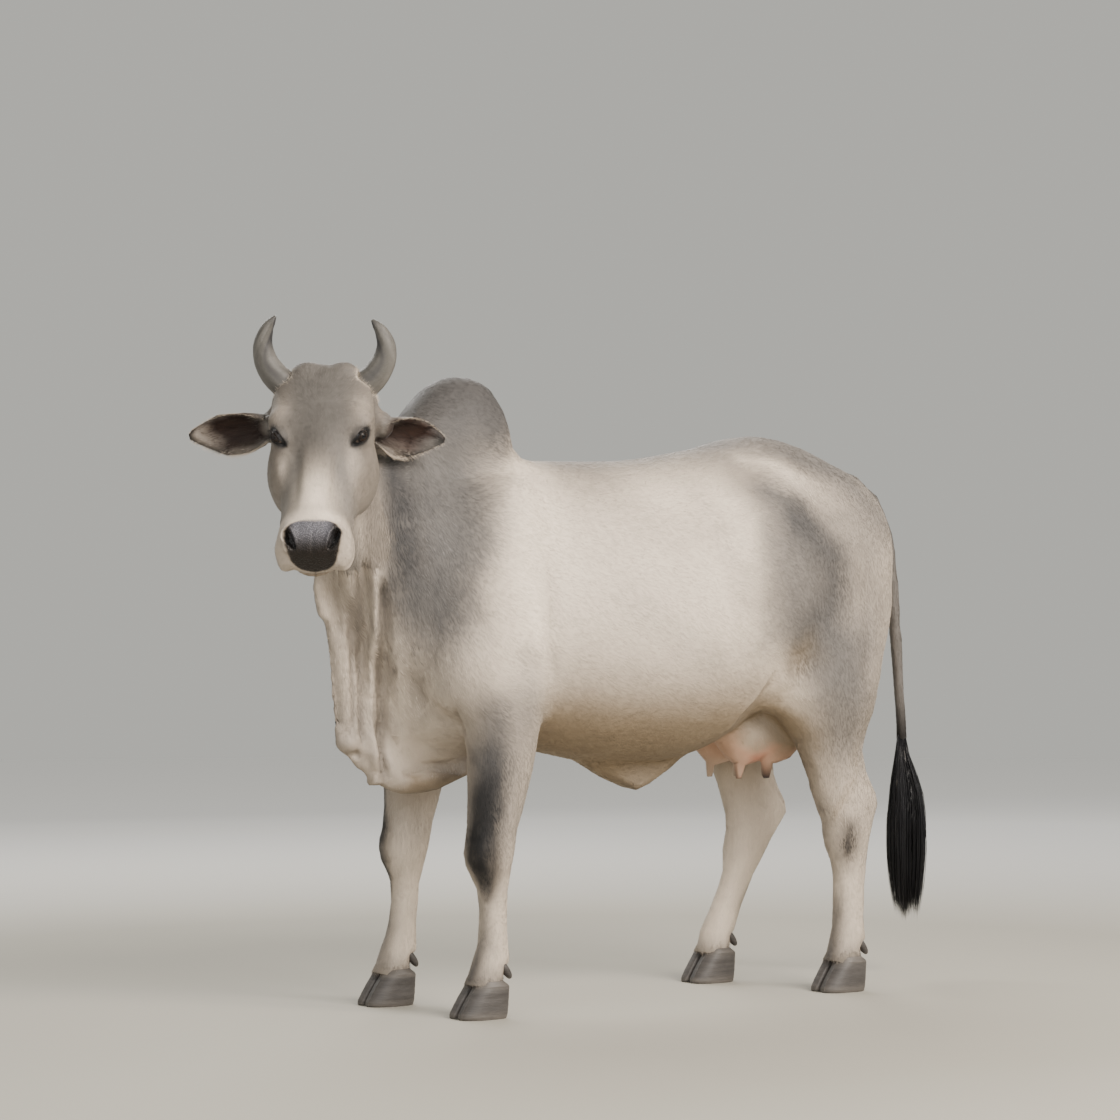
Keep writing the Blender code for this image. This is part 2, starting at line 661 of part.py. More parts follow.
def switch_locks():
    """Flat tapering locks in tiers, which hang down the tuft and end in loose tips."""
    draw = random.Random(4)
    locks = []
    for tier, (root_z, length, count, start) in enumerate(SWITCH_TIERS):
        for k in range(count):
            angle = 2 * math.pi * (k + 0.5 * (tier % 2)) / count + draw.uniform(-0.1, 0.1)
            reach = length * draw.uniform(0.90, 1.08)
            points = []
            for t in (0.0, 0.25, 0.62, 1.0):
                z = max(root_z - reach * t, SWITCH_TIP + 0.002 * k)
                share = start + (0.96 - start) * min(1.0, t / 0.3)
                radius = switch_radius(z) * share * (1 - 0.10 * t)
                points.append((z, radius))
            locks.append(new_object("lock", lock_shape, angle, points, draw.uniform(0.0120, 0.0150)))
    return locks


def lock_shape(bm, angle, points, half):
    """One flat tapering lock, which hangs at an angle round the tuft's middle."""
    out = Vector((math.cos(angle), math.sin(angle) * SWITCH_FLAT, 0))
    wide = Vector((-math.sin(angle), math.cos(angle), 0))
    rings = []
    for i, (z, radius) in enumerate(points):
        t = i / (len(points) - 1)
        centre = Vector((switch_x(z), 0, z)) + out * radius
        w = half * (1 - t**2.2) + 0.0009
        h = 0.0042 * (1 - 0.72 * t)
        corners = ((w, 0), (0, h), (-w, 0), (0, -h))
        rings.append([bm.verts.new(centre + wide * a + out * b) for a, b in corners])
    made = [bm.faces.new(rings[0][::-1]), bm.faces.new(rings[-1])]
    for a, b in zip(rings, rings[1:]):
        for k in range(4):
            made.append(bm.faces.new((a[k], a[(k + 1) % 4], b[(k + 1) % 4], b[k])))
    bmesh.ops.recalc_face_normals(bm, faces=made)


def claw_shape(bm, leg, half_sign):
    """One claw of a foot: flat sole at z = 0, sloping toe, lower heel."""
    base = leg_centre(leg, CORONET_HEIGHT, 0.0, 0.0)
    x, y = base.x, base.y + half_sign * CLAW_SPREAD
    count = 12
    rows = (
        # how far down the claw, forward reach, backward reach, half width
        (0.00, 0.068, 0.030, 0.0225),
        (0.35, 0.078, 0.031, 0.0238),
        (0.75, 0.088, 0.032, 0.0245),
        (1.00, 0.092, 0.033, 0.0248),
    )
    rings = []
    for t, front, back, half in rows:
        ring = []
        for k in range(count):
            angle = 2 * math.pi * k / count
            c, s = math.cos(angle), math.sin(angle)
            px = -s * front if s > 0 else -s * back
            narrow = 1 - 0.45 * max(0.0, s) ** 2
            py = math.copysign(abs(c) ** 0.8, c) * half * narrow
            py -= half_sign * 0.004 * max(0.0, s) ** 2
            top = coronet_z(px) - GAP
            ring.append(bm.verts.new((x + px, y + py, top * (1 - t))))
        rings.append(ring)
    made = [bm.faces.new(rings[0]), bm.faces.new(rings[-1][::-1])]
    for a, b in zip(rings, rings[1:]):
        for k in range(count):
            made.append(bm.faces.new((a[k], a[(k + 1) % count], b[(k + 1) % count], b[k])))
    bmesh.ops.recalc_face_normals(bm, faces=made)


CLAW_SPREAD = 0.0255
CORONET_SLOPE = 0.30


def coronet_z(forward):
    """The height of the coronet at a place ahead (negative x) of or behind the foot's middle."""
    return CORONET_HEIGHT - 0.006 - CORONET_SLOPE * forward


def dewclaw_shape(bm, leg, half_sign):
    """A small blunt horn behind the fetlock."""
    base = leg_centre(leg, 0.105, 0.0, 0.0)
    root = base + Vector((0.016, half_sign * 0.020, 0.012))
    tip = base + Vector((0.042, half_sign * 0.024, -0.022))
    middle = root.lerp(tip, 0.6) + Vector((0.004, 0, 0.003))
    path_loft(bm, [root, middle, tip], [0.0130, 0.0125, 0.0075], count=8, steps=1, side=Y_AXIS)


def evaluated(obj):
    """Settles an object's modifiers into its mesh."""
    bpy.context.view_layer.update()
    graph = bpy.context.evaluated_depsgraph_get()
    mesh = bpy.data.meshes.new_from_object(obj.evaluated_get(graph))
    obj.modifiers.clear()
    old = obj.data
    obj.data = mesh
    bpy.data.meshes.remove(old)
    mesh.name = obj.name


def boolean(obj, other, operation, keep_other=False, solver="MANIFOLD"):
    """One Boolean of obj with another body, settled at once.

    The exact solver left open edges where the thin cuts meet, so the manifold one is the default.
    """
    tool = obj.modifiers.new("tool", "BOOLEAN")
    tool.operation = operation
    tool.solver = solver
    tool.object = other
    evaluated(obj)
    if not keep_other:
        bpy.data.objects.remove(other)


def grown(obj, distance):
    """A copy of a body with its surface pushed out."""
    bm = bmesh.new()
    bm.from_mesh(obj.data)
    bm.normal_update()
    for vert, normal in [(v, v.normal.copy()) for v in bm.verts]:
        vert.co += normal * distance
    mesh = bpy.data.meshes.new("grown")
    bm.to_mesh(mesh)
    bm.free()
    copy = bpy.data.objects.new("grown", mesh)
    bpy.context.scene.collection.objects.link(copy)
    return copy


def largest_only(obj):
    """Drops every loose crumb but the biggest closed surface."""
    bm = bmesh.new()
    bm.from_mesh(obj.data)
    left = set(bm.verts)
    best = []
    while left:
        stack = [left.pop()]
        island = list(stack)
        while stack:
            for edge in stack.pop().link_edges:
                for vert in edge.verts:
                    if vert in left:
                        left.remove(vert)
                        stack.append(vert)
                        island.append(vert)
        if len(island) > len(best):
            best = island
    keep = set(best)
    bmesh.ops.delete(bm, geom=[v for v in bm.verts if v not in keep], context="VERTS")
    bm.to_mesh(obj.data)
    bm.free()


def fuse(name, fills, voxel, blends, triangles):
    """Fuses overlapping masses into one skin, relaxes it and thins it out."""
    def fill(bm):
        for part in fills:
            part[0](bm, *part[1:])

    obj = new_object(name, fill)
    tool = obj.modifiers.new("fuse", "REMESH")
    tool.mode = "VOXEL"
    tool.voxel_size = voxel
    evaluated(obj)
    for rounds, back, calm in blends:
        relax(obj.data, rounds, back, calm)
    count = sum(len(p.vertices) - 2 for p in obj.data.polygons)
    tool = obj.modifiers.new("thin", "DECIMATE")
    tool.ratio = triangles / count
    evaluated(obj)
    largest_only(obj)
    return obj


def relax(mesh, rounds, back, calm):
    """Rounds off creases; calm gives each place a share from 0 (kept) to 1 (fully relaxed).

    With a step back after each step in, the small bumps go and the volume stays.
    """
    count = len(mesh.vertices)
    co = np.empty(count * 3)
    mesh.vertices.foreach_get("co", co)
    co = co.reshape(-1, 3)
    edges = np.empty(len(mesh.edges) * 2, int)
    mesh.edges.foreach_get("vertices", edges)
    a, b = edges.reshape(-1, 2).T
    degree = np.bincount(np.concatenate([a, b]), minlength=count)[:, None]
    share = calm(co)[:, None]
    for _ in range(rounds):
        for weight in (0.60, -back) if back else (0.60,):
            total = np.zeros_like(co)
            for axis in range(3):
                total[:, axis] = np.bincount(a, co[b, axis], count) + np.bincount(b, co[a, axis], count)
            co = co + (total / degree - co) * weight * share
    mesh.vertices.foreach_set("co", co.ravel())
    mesh.update()


def all_calm(co):
    return np.ones(len(co))


def trunk_calm(co):
    """Only the broad flesh of the trunk and neck; not the legs, folds or hump's rim."""
    x, y, z = co.T
    share = np.clip((z - 0.66) / 0.12, 0.0, 1.0)
    share *= np.clip((x + 0.80) / 0.12, 0.0, 1.0)
    share *= np.where((x > 0.60) & (np.abs(y) < 0.06), 0.15, 1.0)
    return share * np.where((z > 1.29) & (x < -0.35), 0.25, 1.0)


def prism(outline, near, far, basis=None, origin=(0, 0, 0), grow=0.0):
    """A block with the given outline in the plane of the basis's first and third axes.

    It reaches from near to far along the second axis.
    """
    matrix = basis or Matrix.Identity(3)
    points = [Vector(p) for p in outline]
    area = sum(p.x * q.y - q.x * p.y for p, q in zip(points, points[1:] + points[:1]))
    turn = 1 if area > 0 else -1
    moved = []
    for i, point in enumerate(points):
        before, after = points[i - 1], points[(i + 1) % len(points)]
        n1 = Vector(((point - before).y, -(point - before).x)).normalized() * turn
        n2 = Vector(((after - point).y, -(after - point).x)).normalized() * turn
        moved.append(point + (n1 + n2) * (grow / (1 + n1.dot(n2))))
    bm = bmesh.new()
    rings = []
    for y in (near - grow, far + grow):
        rings.append([bm.verts.new(Vector(origin) + matrix @ Vector((p.x, y, p.y))) for p in moved])
    made = [bm.faces.new(rings[0]), bm.faces.new(rings[1])]
    for i in range(len(moved)):
        n = (i + 1) % len(moved)
        made.append(bm.faces.new((rings[0][i], rings[0][n], rings[1][n], rings[1][i])))
    bmesh.ops.recalc_face_normals(bm, faces=made)
    mesh = bpy.data.meshes.new("block")
    bm.to_mesh(mesh)
    bm.free()
    obj = bpy.data.objects.new("block", mesh)
    bpy.context.scene.collection.objects.link(obj)
    return obj


def copy_of(obj, name):
    mesh = obj.data.copy()
    mesh.name = name
    copy = bpy.data.objects.new(name, mesh)
    bpy.context.scene.collection.objects.link(copy)
    return copy


def take(rest, name, outline, near, far, basis=None, origin=(0, 0, 0)):
    """Parts the flesh inside a block off as a node, with a thin cut round it."""
    piece = copy_of(rest, name)
    boolean(piece, prism(outline, near, far, basis, origin), "INTERSECT")
    boolean(rest, prism(outline, near, far, basis, origin, GAP), "DIFFERENCE")
    largest_only(piece)
    largest_only(rest)
    return piece


def seat(body, inserts):
    """Carves the place that each insert sits in out of the body."""
    for insert in inserts:
        boolean(body, grown(insert, GAP), "DIFFERENCE")
    largest_only(body)


# How far to each side a block reaches that goes right through
FAR_OUT = 0.40
HEAD_BLOCK = ((-0.055, 0.040), (-0.020, 0.140), (0.600, 0.140), (0.600, -0.275), (0.140, -0.275))


MOUTH_LINE = (
    # x, height and depth of the line between the lips, from the corner to the front
    (0.345, -0.128, 0.006),
    (0.375, -0.136, 0.010),
    (0.410, -0.146, 0.012),
    (0.445, -0.156, 0.012),
    (0.470, -0.160, 0.011),
    (0.488, -0.160, 0.010),
)
MOUTH_HALF_OPEN = 0.0016
LIP_DEPTH = 0.010


def mouth_cutter(bm):
    """A thin bent sheet that parts the lips all round the muzzle."""
    rows = smooth_rows(MOUTH_LINE, 3)
    sheets = ([], [])
    for x, z, _ in rows:
        for sheet, turn in zip(sheets, (1, -1)):
            sheet.append([bm.verts.new(head_point(x, y, z + turn * MOUTH_HALF_OPEN)) for y in (-0.2, 0.2)])
    close_sheet(bm, *sheets)


NOSTRIL = (
    # x, distance from the middle, height and half width along the comma, from its outer end in
    (0.438, 0.0570, -0.047, 0.0030),
    (0.446, 0.0545, -0.054, 0.0068),
    (0.456, 0.0495, -0.064, 0.0092),
    (0.466, 0.0430, -0.076, 0.0085),
    (0.474, 0.0360, -0.086, 0.0045),
)
NOSTRIL_DEPTH = 0.022


def nostril_cutter(bm, sign):
    """The comma-shaped hollow of a nostril, aimed into the muzzle."""
    out = (FACE_AXIS * 0.72 + HEAD_LEFT * sign * 0.30 + FACE_UP * 0.62).normalized()
    along = head_point(0.036, -sign * 0.021, -0.039) - POLL
    across = along.cross(out).normalized()
    sections = []
    for x, y, z, half in NOSTRIL:
        sections.append(section(head_point(x, sign * y, z), 0.018, NOSTRIL_DEPTH, half, out, across))
    add_loft(bm, sections, count=12, steps=2)


def build_head():
    """The head with its horns, ears and eyes seated in it, and the mouth and nostrils cut."""
    blends = ((9, 0.0, all_calm), (8, 0.53, all_calm))
    head = fuse("head", [(head_masses,), (neck_masses,)], HEAD_VOXEL, blends, HEAD_TRIANGLES)
    boolean(head, prism(HEAD_BLOCK, -FAR_OUT, FAR_OUT, HEAD_BASIS, POLL), "INTERSECT")
    largest_only(head)
    core = grown(head, -LIP_DEPTH)
    line = new_object("mouth", mouth_cutter)
    boolean(line, core, "DIFFERENCE")
    largest_only(line)
    boolean(head, line, "DIFFERENCE")
    largest_only(head)
    inserts = []
    for name, sign in SIDES:
        inserts.append(new_object("horn_" + name, horn_shape, sign))
        inserts.append(new_object("ear_" + name, ear_shape, sign))
    seat(head, inserts)
    for name, sign in SIDES:
        eye = new_object("eye_" + name, eye_shape, sign)
        boolean(head, lid_opening(sign), "DIFFERENCE")
        boolean(head, grown(eye, GAP), "DIFFERENCE")
        boolean(head, new_object("nostril", nostril_cutter, sign), "DIFFERENCE")
    largest_only(head)
    return head


def eye_shape(bm, sign):
    """An eyeball."""
    place = head_point(EYE_PLACE[0], sign * EYE_PLACE[1], EYE_PLACE[2])
    bmesh.ops.create_uvsphere(
        bm, u_segments=12, v_segments=8, radius=EYE_RADIUS, matrix=Matrix.Translation(place)
    )


def lid_opening(sign):
    """The almond between the lids, aimed out of the socket."""
    out = (HEAD_LEFT * sign * 0.68 + FACE_UP * 0.52 + FACE_AXIS * 0.50).normalized()
    long = (FACE_AXIS * 0.50 - HEAD_LEFT * sign * 0.80 - FACE_UP * 0.45).normalized()
    long = (long - out * long.dot(out)).normalized()
    high = out.cross(long)
    if high.dot(FACE_UP) < 0:
        high = -high
    basis = Matrix((long, out, high)).transposed()
    outline = []
    for k in range(12):
        angle = 2 * math.pi * k / 12
        taper = 1 - 0.55 * abs(math.cos(angle)) ** 3
        outline.append((LID_HALF_LENGTH * math.cos(angle), LID_HALF_OPEN * math.sin(angle) * taper))
    origin = head_point(EYE_PLACE[0], sign * EYE_PLACE[1], EYE_PLACE[2])
    return prism(outline, EYE_RADIUS * 0.35, 0.06, basis, origin)


# Outlines, from the side, of the blocks that the nodes of the trunk are parted with
DEWLAP_BLOCK = (
    (-1.10, 1.120), (-0.830, 1.120), (-0.600, 0.640), (-0.405, 0.595), (-0.405, 0.40), (-1.10, 0.40),
)
DEWLAP_CUT = 0.056
UDDER_BLOCK = ((0.140, 0.640), (0.450, 0.690), (0.450, 0.40), (0.140, 0.40))
NECK_BLOCK = ((-0.655, 0.40), (-0.625, 1.60), (-1.20, 1.60), (-1.20, 0.40))
HUMP_BLOCK = ((-0.80, 1.285), (-0.20, 1.285), (-0.20, 1.70), (-0.80, 1.70))
# For fore and hind legs: the top of the upper leg, the inner side of the cut, its reach ahead and behind
LEG_CUTS = {"fore": (0.690, 0.058, 0.17, 0.20), "hind": (0.760, 0.062, 0.30, 0.26)}
LOWER_LEG_DROP = 0.075


def build_body():
    """The trunk and legs, fused as one and then parted into nodes."""
    trunk = (torso_masses, hump_mass, neck_masses, dewlap_mass, belly_masses, tail_root_mass)
    fills = [(mass,) for mass in trunk] + [(leg_mass, leg) for leg in LEGS]
    blends = ((120, 0.0, trunk_calm), (16, 0.53, all_calm))
    rest = fuse("torso", fills, BODY_VOXEL, blends, BODY_TRIANGLES)
    boolean(rest, prism(HEAD_BLOCK, -FAR_OUT, FAR_OUT, HEAD_BASIS, POLL, GAP), "DIFFERENCE")
    largest_only(rest)
    for leg in LEGS:
        build_leg(rest, leg)
    take(rest, "dewlap", DEWLAP_BLOCK, -DEWLAP_CUT, DEWLAP_CUT)
    take(rest, "udder", UDDER_BLOCK, -0.20, 0.20)
    take(rest, "neck", NECK_BLOCK, -0.60, 0.60)
    take(rest, "hump", HUMP_BLOCK, -0.20, 0.20)
    tail = new_object("tail", tail_shape)
    seat(rest, [tail])
    build_switch()


def build_leg(rest, leg):
    """Parts a leg off above the claws, in two, and adds its claws and dewclaws."""
    sign = LEGS[leg][4]
    high, inner, ahead, behind = LEG_CUTS[leg[:4]]
    near, far = sorted((-inner * sign, -FAR_OUT * sign))
    foot = leg_centre(leg, CORONET_HEIGHT, 0.0, 0.0).x
    split = LEGS[leg][3] - LOWER_LEG_DROP
    middle = leg_centre(leg, split, 0.0, 0.0).x
    top = leg_centre(leg, high, 0.0, 0.0).x
    coronet = [(foot - 0.20, coronet_z(-0.20)), (foot + 0.15, coronet_z(0.15))]
    take(rest, leg + "_lower", [*coronet, (middle + 0.15, split), (middle - 0.20, split)], near, far)
    upper = [
        (middle - 0.20, split + GAP),
        (middle + 0.15, split + GAP),
        (top + behind, high - 0.10),
        (top + behind, high),
        (top - ahead, high),
        (top - ahead, high - 0.12),
    ]
    take(rest, leg + "_upper", upper, near, far)
    below = [(foot - 0.2, -0.1), (foot + 0.2, -0.1), (foot + 0.2, 0.3), (foot - 0.2, 0.3)]
    boolean(rest, prism(below, near, far), "DIFFERENCE")
    largest_only(rest)
    for half_sign, side in ((1, "a"), (-1, "b")):
        new_object(f"{leg}_claw_{side}", claw_shape, leg, half_sign)
        dewclaw = new_object(f"{leg}_dewclaw_{side}", dewclaw_shape, leg, half_sign)
        seat(bpy.data.objects[leg + "_lower"], [dewclaw])


def build_switch():
    """The tail's tuft: its core with all the locks joined on."""
    switch = new_object("tail_switch", switch_core)
    locks = bpy.data.collections.new("locks")
    for lock in switch_locks():
        locks.objects.link(lock)
    tool = switch.modifiers.new("join", "BOOLEAN")
    tool.operation = "UNION"
    tool.operand_type = "COLLECTION"
    tool.collection = locks
    tool.solver = "MANIFOLD"
    evaluated(switch)
    for lock in list(locks.objects):
        bpy.data.objects.remove(lock)
    bpy.data.collections.remove(locks)
    largest_only(switch)


# Colours and roughness of the materials
HIDE = (0.60, 0.57, 0.54, 0.75)
HORN = (0.27, 0.26, 0.24, 0.45)
CLAW = (0.10, 0.09, 0.085, 0.50)
EYE = (0.015, 0.012, 0.010, 0.10)
HAIR = (0.012, 0.012, 0.016, 0.40)
UDDER = (0.62, 0.47, 0.42, 0.60)
COLOURS = (("horn_", HORN), ("claw_", CLAW), ("eye_", EYE), ("tail_switch", HAIR), ("udder", UDDER))


def finish(obj):
    """Gives a node its material and smooth shading."""
    colour = HIDE
    for word, value in COLOURS:
        if word in obj.name:
            colour = value
    material = bpy.data.materials.new(obj.name)
    material.use_nodes = True
    shader = material.node_tree.nodes["Principled BSDF"]
    shader.inputs["Base Color"].default_value = (*colour[:3], 1)
    shader.inputs["Roughness"].default_value = colour[3]
    obj.data.materials.clear()
    obj.data.materials.append(material)
    obj.data.shade_smooth()
    obj.data.set_sharp_from_angle(angle=math.radians(50))


def centre_all(objects):
    """Moves the whole cow so that the middle of its box stands over the origin."""
    corners = np.array([v.co for obj in objects for v in obj.data.vertices])
    low, high = corners.min(axis=0), corners.max(axis=0)
    shift = Vector(((low[0] + high[0]) / -2, (low[1] + high[1]) / -2, -low[2]))
    for obj in objects:
        obj.data.transform(Matrix.Translation(shift))
    return shift


def main():
    for obj in list(bpy.data.objects):
        bpy.data.objects.remove(obj)
    build_body()
    build_head()
    objects = list(bpy.data.objects)
    group = bpy.data.collections.new("humped_dairy_cow")
    bpy.context.scene.collection.children.link(group)
    for obj in objects:
        bpy.context.scene.collection.objects.unlink(obj)
        group.objects.link(obj)
        finish(obj)
    return centre_all(objects)


SHIFT = main()
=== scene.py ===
"""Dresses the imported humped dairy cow: skin, coat, eyes, hair, horns, claws, tail tuft, floor and lights."""

import json
import math

import bmesh
import bpy
import numpy as np
from mathutils import Matrix, Vector
from mathutils.bvhtree import BVHTree

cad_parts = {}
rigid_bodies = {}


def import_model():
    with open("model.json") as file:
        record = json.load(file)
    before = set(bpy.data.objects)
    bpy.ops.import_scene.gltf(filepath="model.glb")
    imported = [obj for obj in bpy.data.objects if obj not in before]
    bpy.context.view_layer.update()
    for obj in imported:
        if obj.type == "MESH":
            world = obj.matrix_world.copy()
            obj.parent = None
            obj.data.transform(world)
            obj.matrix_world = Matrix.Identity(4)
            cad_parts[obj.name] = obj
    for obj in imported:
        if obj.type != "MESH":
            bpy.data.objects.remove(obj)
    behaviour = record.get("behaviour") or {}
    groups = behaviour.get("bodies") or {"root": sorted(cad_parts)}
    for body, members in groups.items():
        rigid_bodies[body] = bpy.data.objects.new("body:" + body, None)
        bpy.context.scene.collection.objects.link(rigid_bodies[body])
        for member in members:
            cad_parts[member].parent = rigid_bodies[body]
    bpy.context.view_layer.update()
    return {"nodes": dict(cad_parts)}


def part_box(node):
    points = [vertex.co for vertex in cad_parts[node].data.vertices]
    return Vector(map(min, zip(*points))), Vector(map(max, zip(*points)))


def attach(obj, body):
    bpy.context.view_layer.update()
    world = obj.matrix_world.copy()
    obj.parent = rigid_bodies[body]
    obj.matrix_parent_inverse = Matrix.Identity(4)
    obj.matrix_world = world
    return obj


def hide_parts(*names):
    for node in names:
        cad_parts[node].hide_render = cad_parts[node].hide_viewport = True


for spare in list(bpy.data.objects):
    bpy.data.objects.remove(spare)
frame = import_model()

bl_info = {
    "name": "Humped dairy cow",
    "version": (1, 0, 0),
    "blender": (4, 5, 0),
    "location": "3D View > Sidebar > Cow",
    "description": "Makes the skin, coat, eyes, horns and claws of a humped dairy cow over its packed solids",
    "category": "Object",
}


def vec(*values):
    return np.array(values, dtype=float)


def unit(v):
    return v / np.linalg.norm(v)


def box_middle(node):
    lo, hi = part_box(node)
    return (np.array(lo) + np.array(hi)) / 2


# The head's own axes: from the poll to the muzzle, to the cow's left, and out of the face
FACE_AXIS = vec(-0.374173, -0.554734, -0.743145)
FACE_UP = vec(-0.418453, -0.614139, 0.669127)
HEAD_LEFT = vec(0.827582, -0.56134, 0.002336)
HEADING = vec(-0.559193, -0.829038, 0.0)
UP = vec(0, 0, 1)
EYE_AT = vec(0.184, 0.085, -0.034)
EYE_RADIUS = 0.0205
POLL = (box_middle("eye_left") + box_middle("eye_right")) / 2 - FACE_AXIS * EYE_AT[0] - FACE_UP * EYE_AT[2]
SHIFT = POLL - vec(-0.918, -0.134, 1.443)
MID = float(SHIFT[1])


def head_point(along, side, out):
    """A place on the head, from its distance down the face, to the left and out of it."""
    return POLL + FACE_AXIS * along + HEAD_LEFT * side + FACE_UP * out


def upright_point(side, forward, up):
    """A place by the poll, level with the floor's own axes."""
    return POLL + HEAD_LEFT * side + HEADING * forward + UP * up


def horn_foot(sign):
    """The middle of a horn's foot, and the way it leaves the head."""
    way = unit(upright_point(sign * 0.115, -0.013, -0.012) - upright_point(sign * 0.062, -0.022, -0.06))
    return upright_point(sign * 0.078, -0.02, -0.048), way


def head_place(points):
    """How far points lie down the face, to the left and out of it."""
    q = points - POLL
    return q @ FACE_AXIS, q @ HEAD_LEFT, q @ FACE_UP


def nose_drop(a, u):
    """How far places on the nose lie below the muffle's upper edge."""
    return 0.62 * (a - 0.424) - 0.72 * (u + 0.045)


# Sums over many points


def step(x, lo, hi):
    """Rises smoothly from 0 at lo to 1 at hi."""
    t = np.clip((x - lo) / (hi - lo), 0, 1)
    return t * t * (3 - 2 * t)


def lengths(rows):
    return np.linalg.norm(rows, axis=1)


def units(rows):
    return rows / lengths(rows)[:, None]


def near(points, path):
    """How far points are from a bent line, and how far along it the nearest place is, from 0 to 1."""
    path = np.asarray(path, float)
    spans = lengths(np.diff(path, axis=0))
    starts = np.concatenate(([0], np.cumsum(spans)))
    best = np.full(len(points), 1e9)
    place = np.zeros(len(points))
    for i, span in enumerate(spans):
        a, b = path[i], path[i + 1]
        t = np.clip((points - a) @ (b - a) / span**2, 0, 1)
        d = lengths(points - a - t[:, None] * (b - a))
        closer = d < best
        best[closer] = d[closer]
        place[closer] = (starts[i] + t[closer] * span) / starts[-1]
    return best, place


def ridge(points, path, width, height, fade=0.25):
    """The height of a soft ridge, or of a groove below zero, along a bent line, fading out at its ends."""
    path = np.asarray(path, float)
    lo, hi = path.min(axis=0) - 3 * width, path.max(axis=0) + 3 * width
    close = np.where(((points > lo) & (points < hi)).all(axis=1))[0]
    out = np.zeros(len(points))
    if len(close):
        d, t = near(points[close], path)
        ends = step(t, -0.02, fade) * step(1 - t, -0.02, fade)
        out[close] = height * np.exp(-((d / width) ** 2)) * ends
    return out


def dome(points, centre, radii, height):
    """The height of a soft bulge, or of a hollow below zero, round a place."""
    r = (points - np.asarray(centre)) / np.asarray(radii)
    return height * np.exp(-np.einsum("ij,ij->i", r, r))


def noise(points, size, seed=0):
    """Smooth random values from -1 to 1 that vary over a given size, which may differ along each axis."""
    q = points / np.asarray(size, float) + 1000.5 + 17.31 * seed
    base = np.floor(q).astype(np.int64)
    f = q - base
    f = f * f * (3 - 2 * f)
    total = np.zeros(len(q))
    for corner in range(8):
        o = np.array([corner & 1, corner >> 1 & 1, corner >> 2 & 1])
        k = base + o
        h = (k[:, 0] * 73856093) ^ (k[:, 1] * 19349663) ^ (k[:, 2] * 83492791) ^ (seed * 2654435)
        h = (h ^ (h >> 13)) * 1274126177 & 0x7FFFFFFF
        value = (h ^ (h >> 16)) % 65536 / 32767.5 - 1
        weight = np.prod(np.where(o == 1, f, 1 - f), axis=1)
        total += value * weight
    return total


def noises(points, size, seed):
    """Three noises with seeds in a row, as the parts of a vector."""
    return np.stack([noise(points, size, seed + k) for k in range(3)], axis=1)


def other_side(path, x_shift=0.0):
    """The same line on the cow's right, a little further along where that leg stands further along."""
    out = np.array(path, float)
    out[:, 1] = 2 * MID - out[:, 1]
    out[:, 0] += x_shift
    return out


# Meshes


def deselect():
    if bpy.context.mode != "OBJECT":
        bpy.ops.object.mode_set(mode="OBJECT")
    bpy.ops.object.select_all(action="DESELECT")


def pick(obj):
    deselect()
    obj.select_set(True)
    bpy.context.view_layer.objects.active = obj


def on_all(obj, operator, **settings):
    """Runs a mesh operator on the whole of a piece."""
    pick(obj)
    bpy.ops.object.mode_set(mode="EDIT")
    bpy.ops.mesh.select_all(action="SELECT")
    operator(**settings)
    bpy.ops.object.mode_set(mode="OBJECT")


def apply_modifier(obj, kind, **settings):
    """Adds one modifier to a piece, sets it and applies it."""
    pick(obj)
    mod = obj.modifiers.new(kind.lower(), kind)
    for key, value in settings.items():
        setattr(mod, key, value)
    bpy.ops.object.modifier_apply(modifier=mod.name)


def read_points(mesh):
    out = np.empty(len(mesh.vertices) * 3, np.float32)
    mesh.vertices.foreach_get("co", out)
    return out.reshape(-1, 3).astype(float)


def write_points(mesh, points):
    mesh.vertices.foreach_set("co", np.asarray(points, np.float32).ravel())
    mesh.update()


def read_triangles(mesh):
    mesh.calc_loop_triangles()
    out = np.empty(len(mesh.loop_triangles) * 3, np.int32)
    mesh.loop_triangles.foreach_get("vertices", out)
    return out.reshape(-1, 3)


def read_edges(mesh):
    out = np.empty(len(mesh.edges) * 2, np.int32)
    mesh.edges.foreach_get("vertices", out)
    return out.reshape(-1, 2)


def point_normals(points, triangles):
    """The direction of the surface at each point, from the triangles round it."""
    a, b, c = (points[triangles[:, k]] for k in range(3))
    face = np.cross(b - a, c - a)
    out = np.zeros_like(points)
    for k in range(3):
        for axis in range(3):
            out[:, axis] += np.bincount(triangles[:, k], face[:, axis], len(points))
    return out / np.maximum(lengths(out), 1e-20)[:, None]


def relax(points, edges, rounds, share, back=0.0):
    """Moves each point towards its neighbours by a share, and back a little so that nothing shrinks."""
    count = len(points)
    a, b = edges[:, 0], edges[:, 1]
    degree = np.maximum(np.bincount(np.concatenate((a, b)), minlength=count), 1)
    share = np.asarray(share) * np.ones(count)
    out = points.copy()
    for _ in range(rounds):
        for sign in (1.0, -back):
            if sign == 0:
                continue
            mean = np.empty_like(out)
            for axis in range(3):
                v = out[:, axis]
                mean[:, axis] = (np.bincount(a, v[b], count) + np.bincount(b, v[a], count)) / degree
            out += (mean - out) * (share * sign)[:, None]
    return out


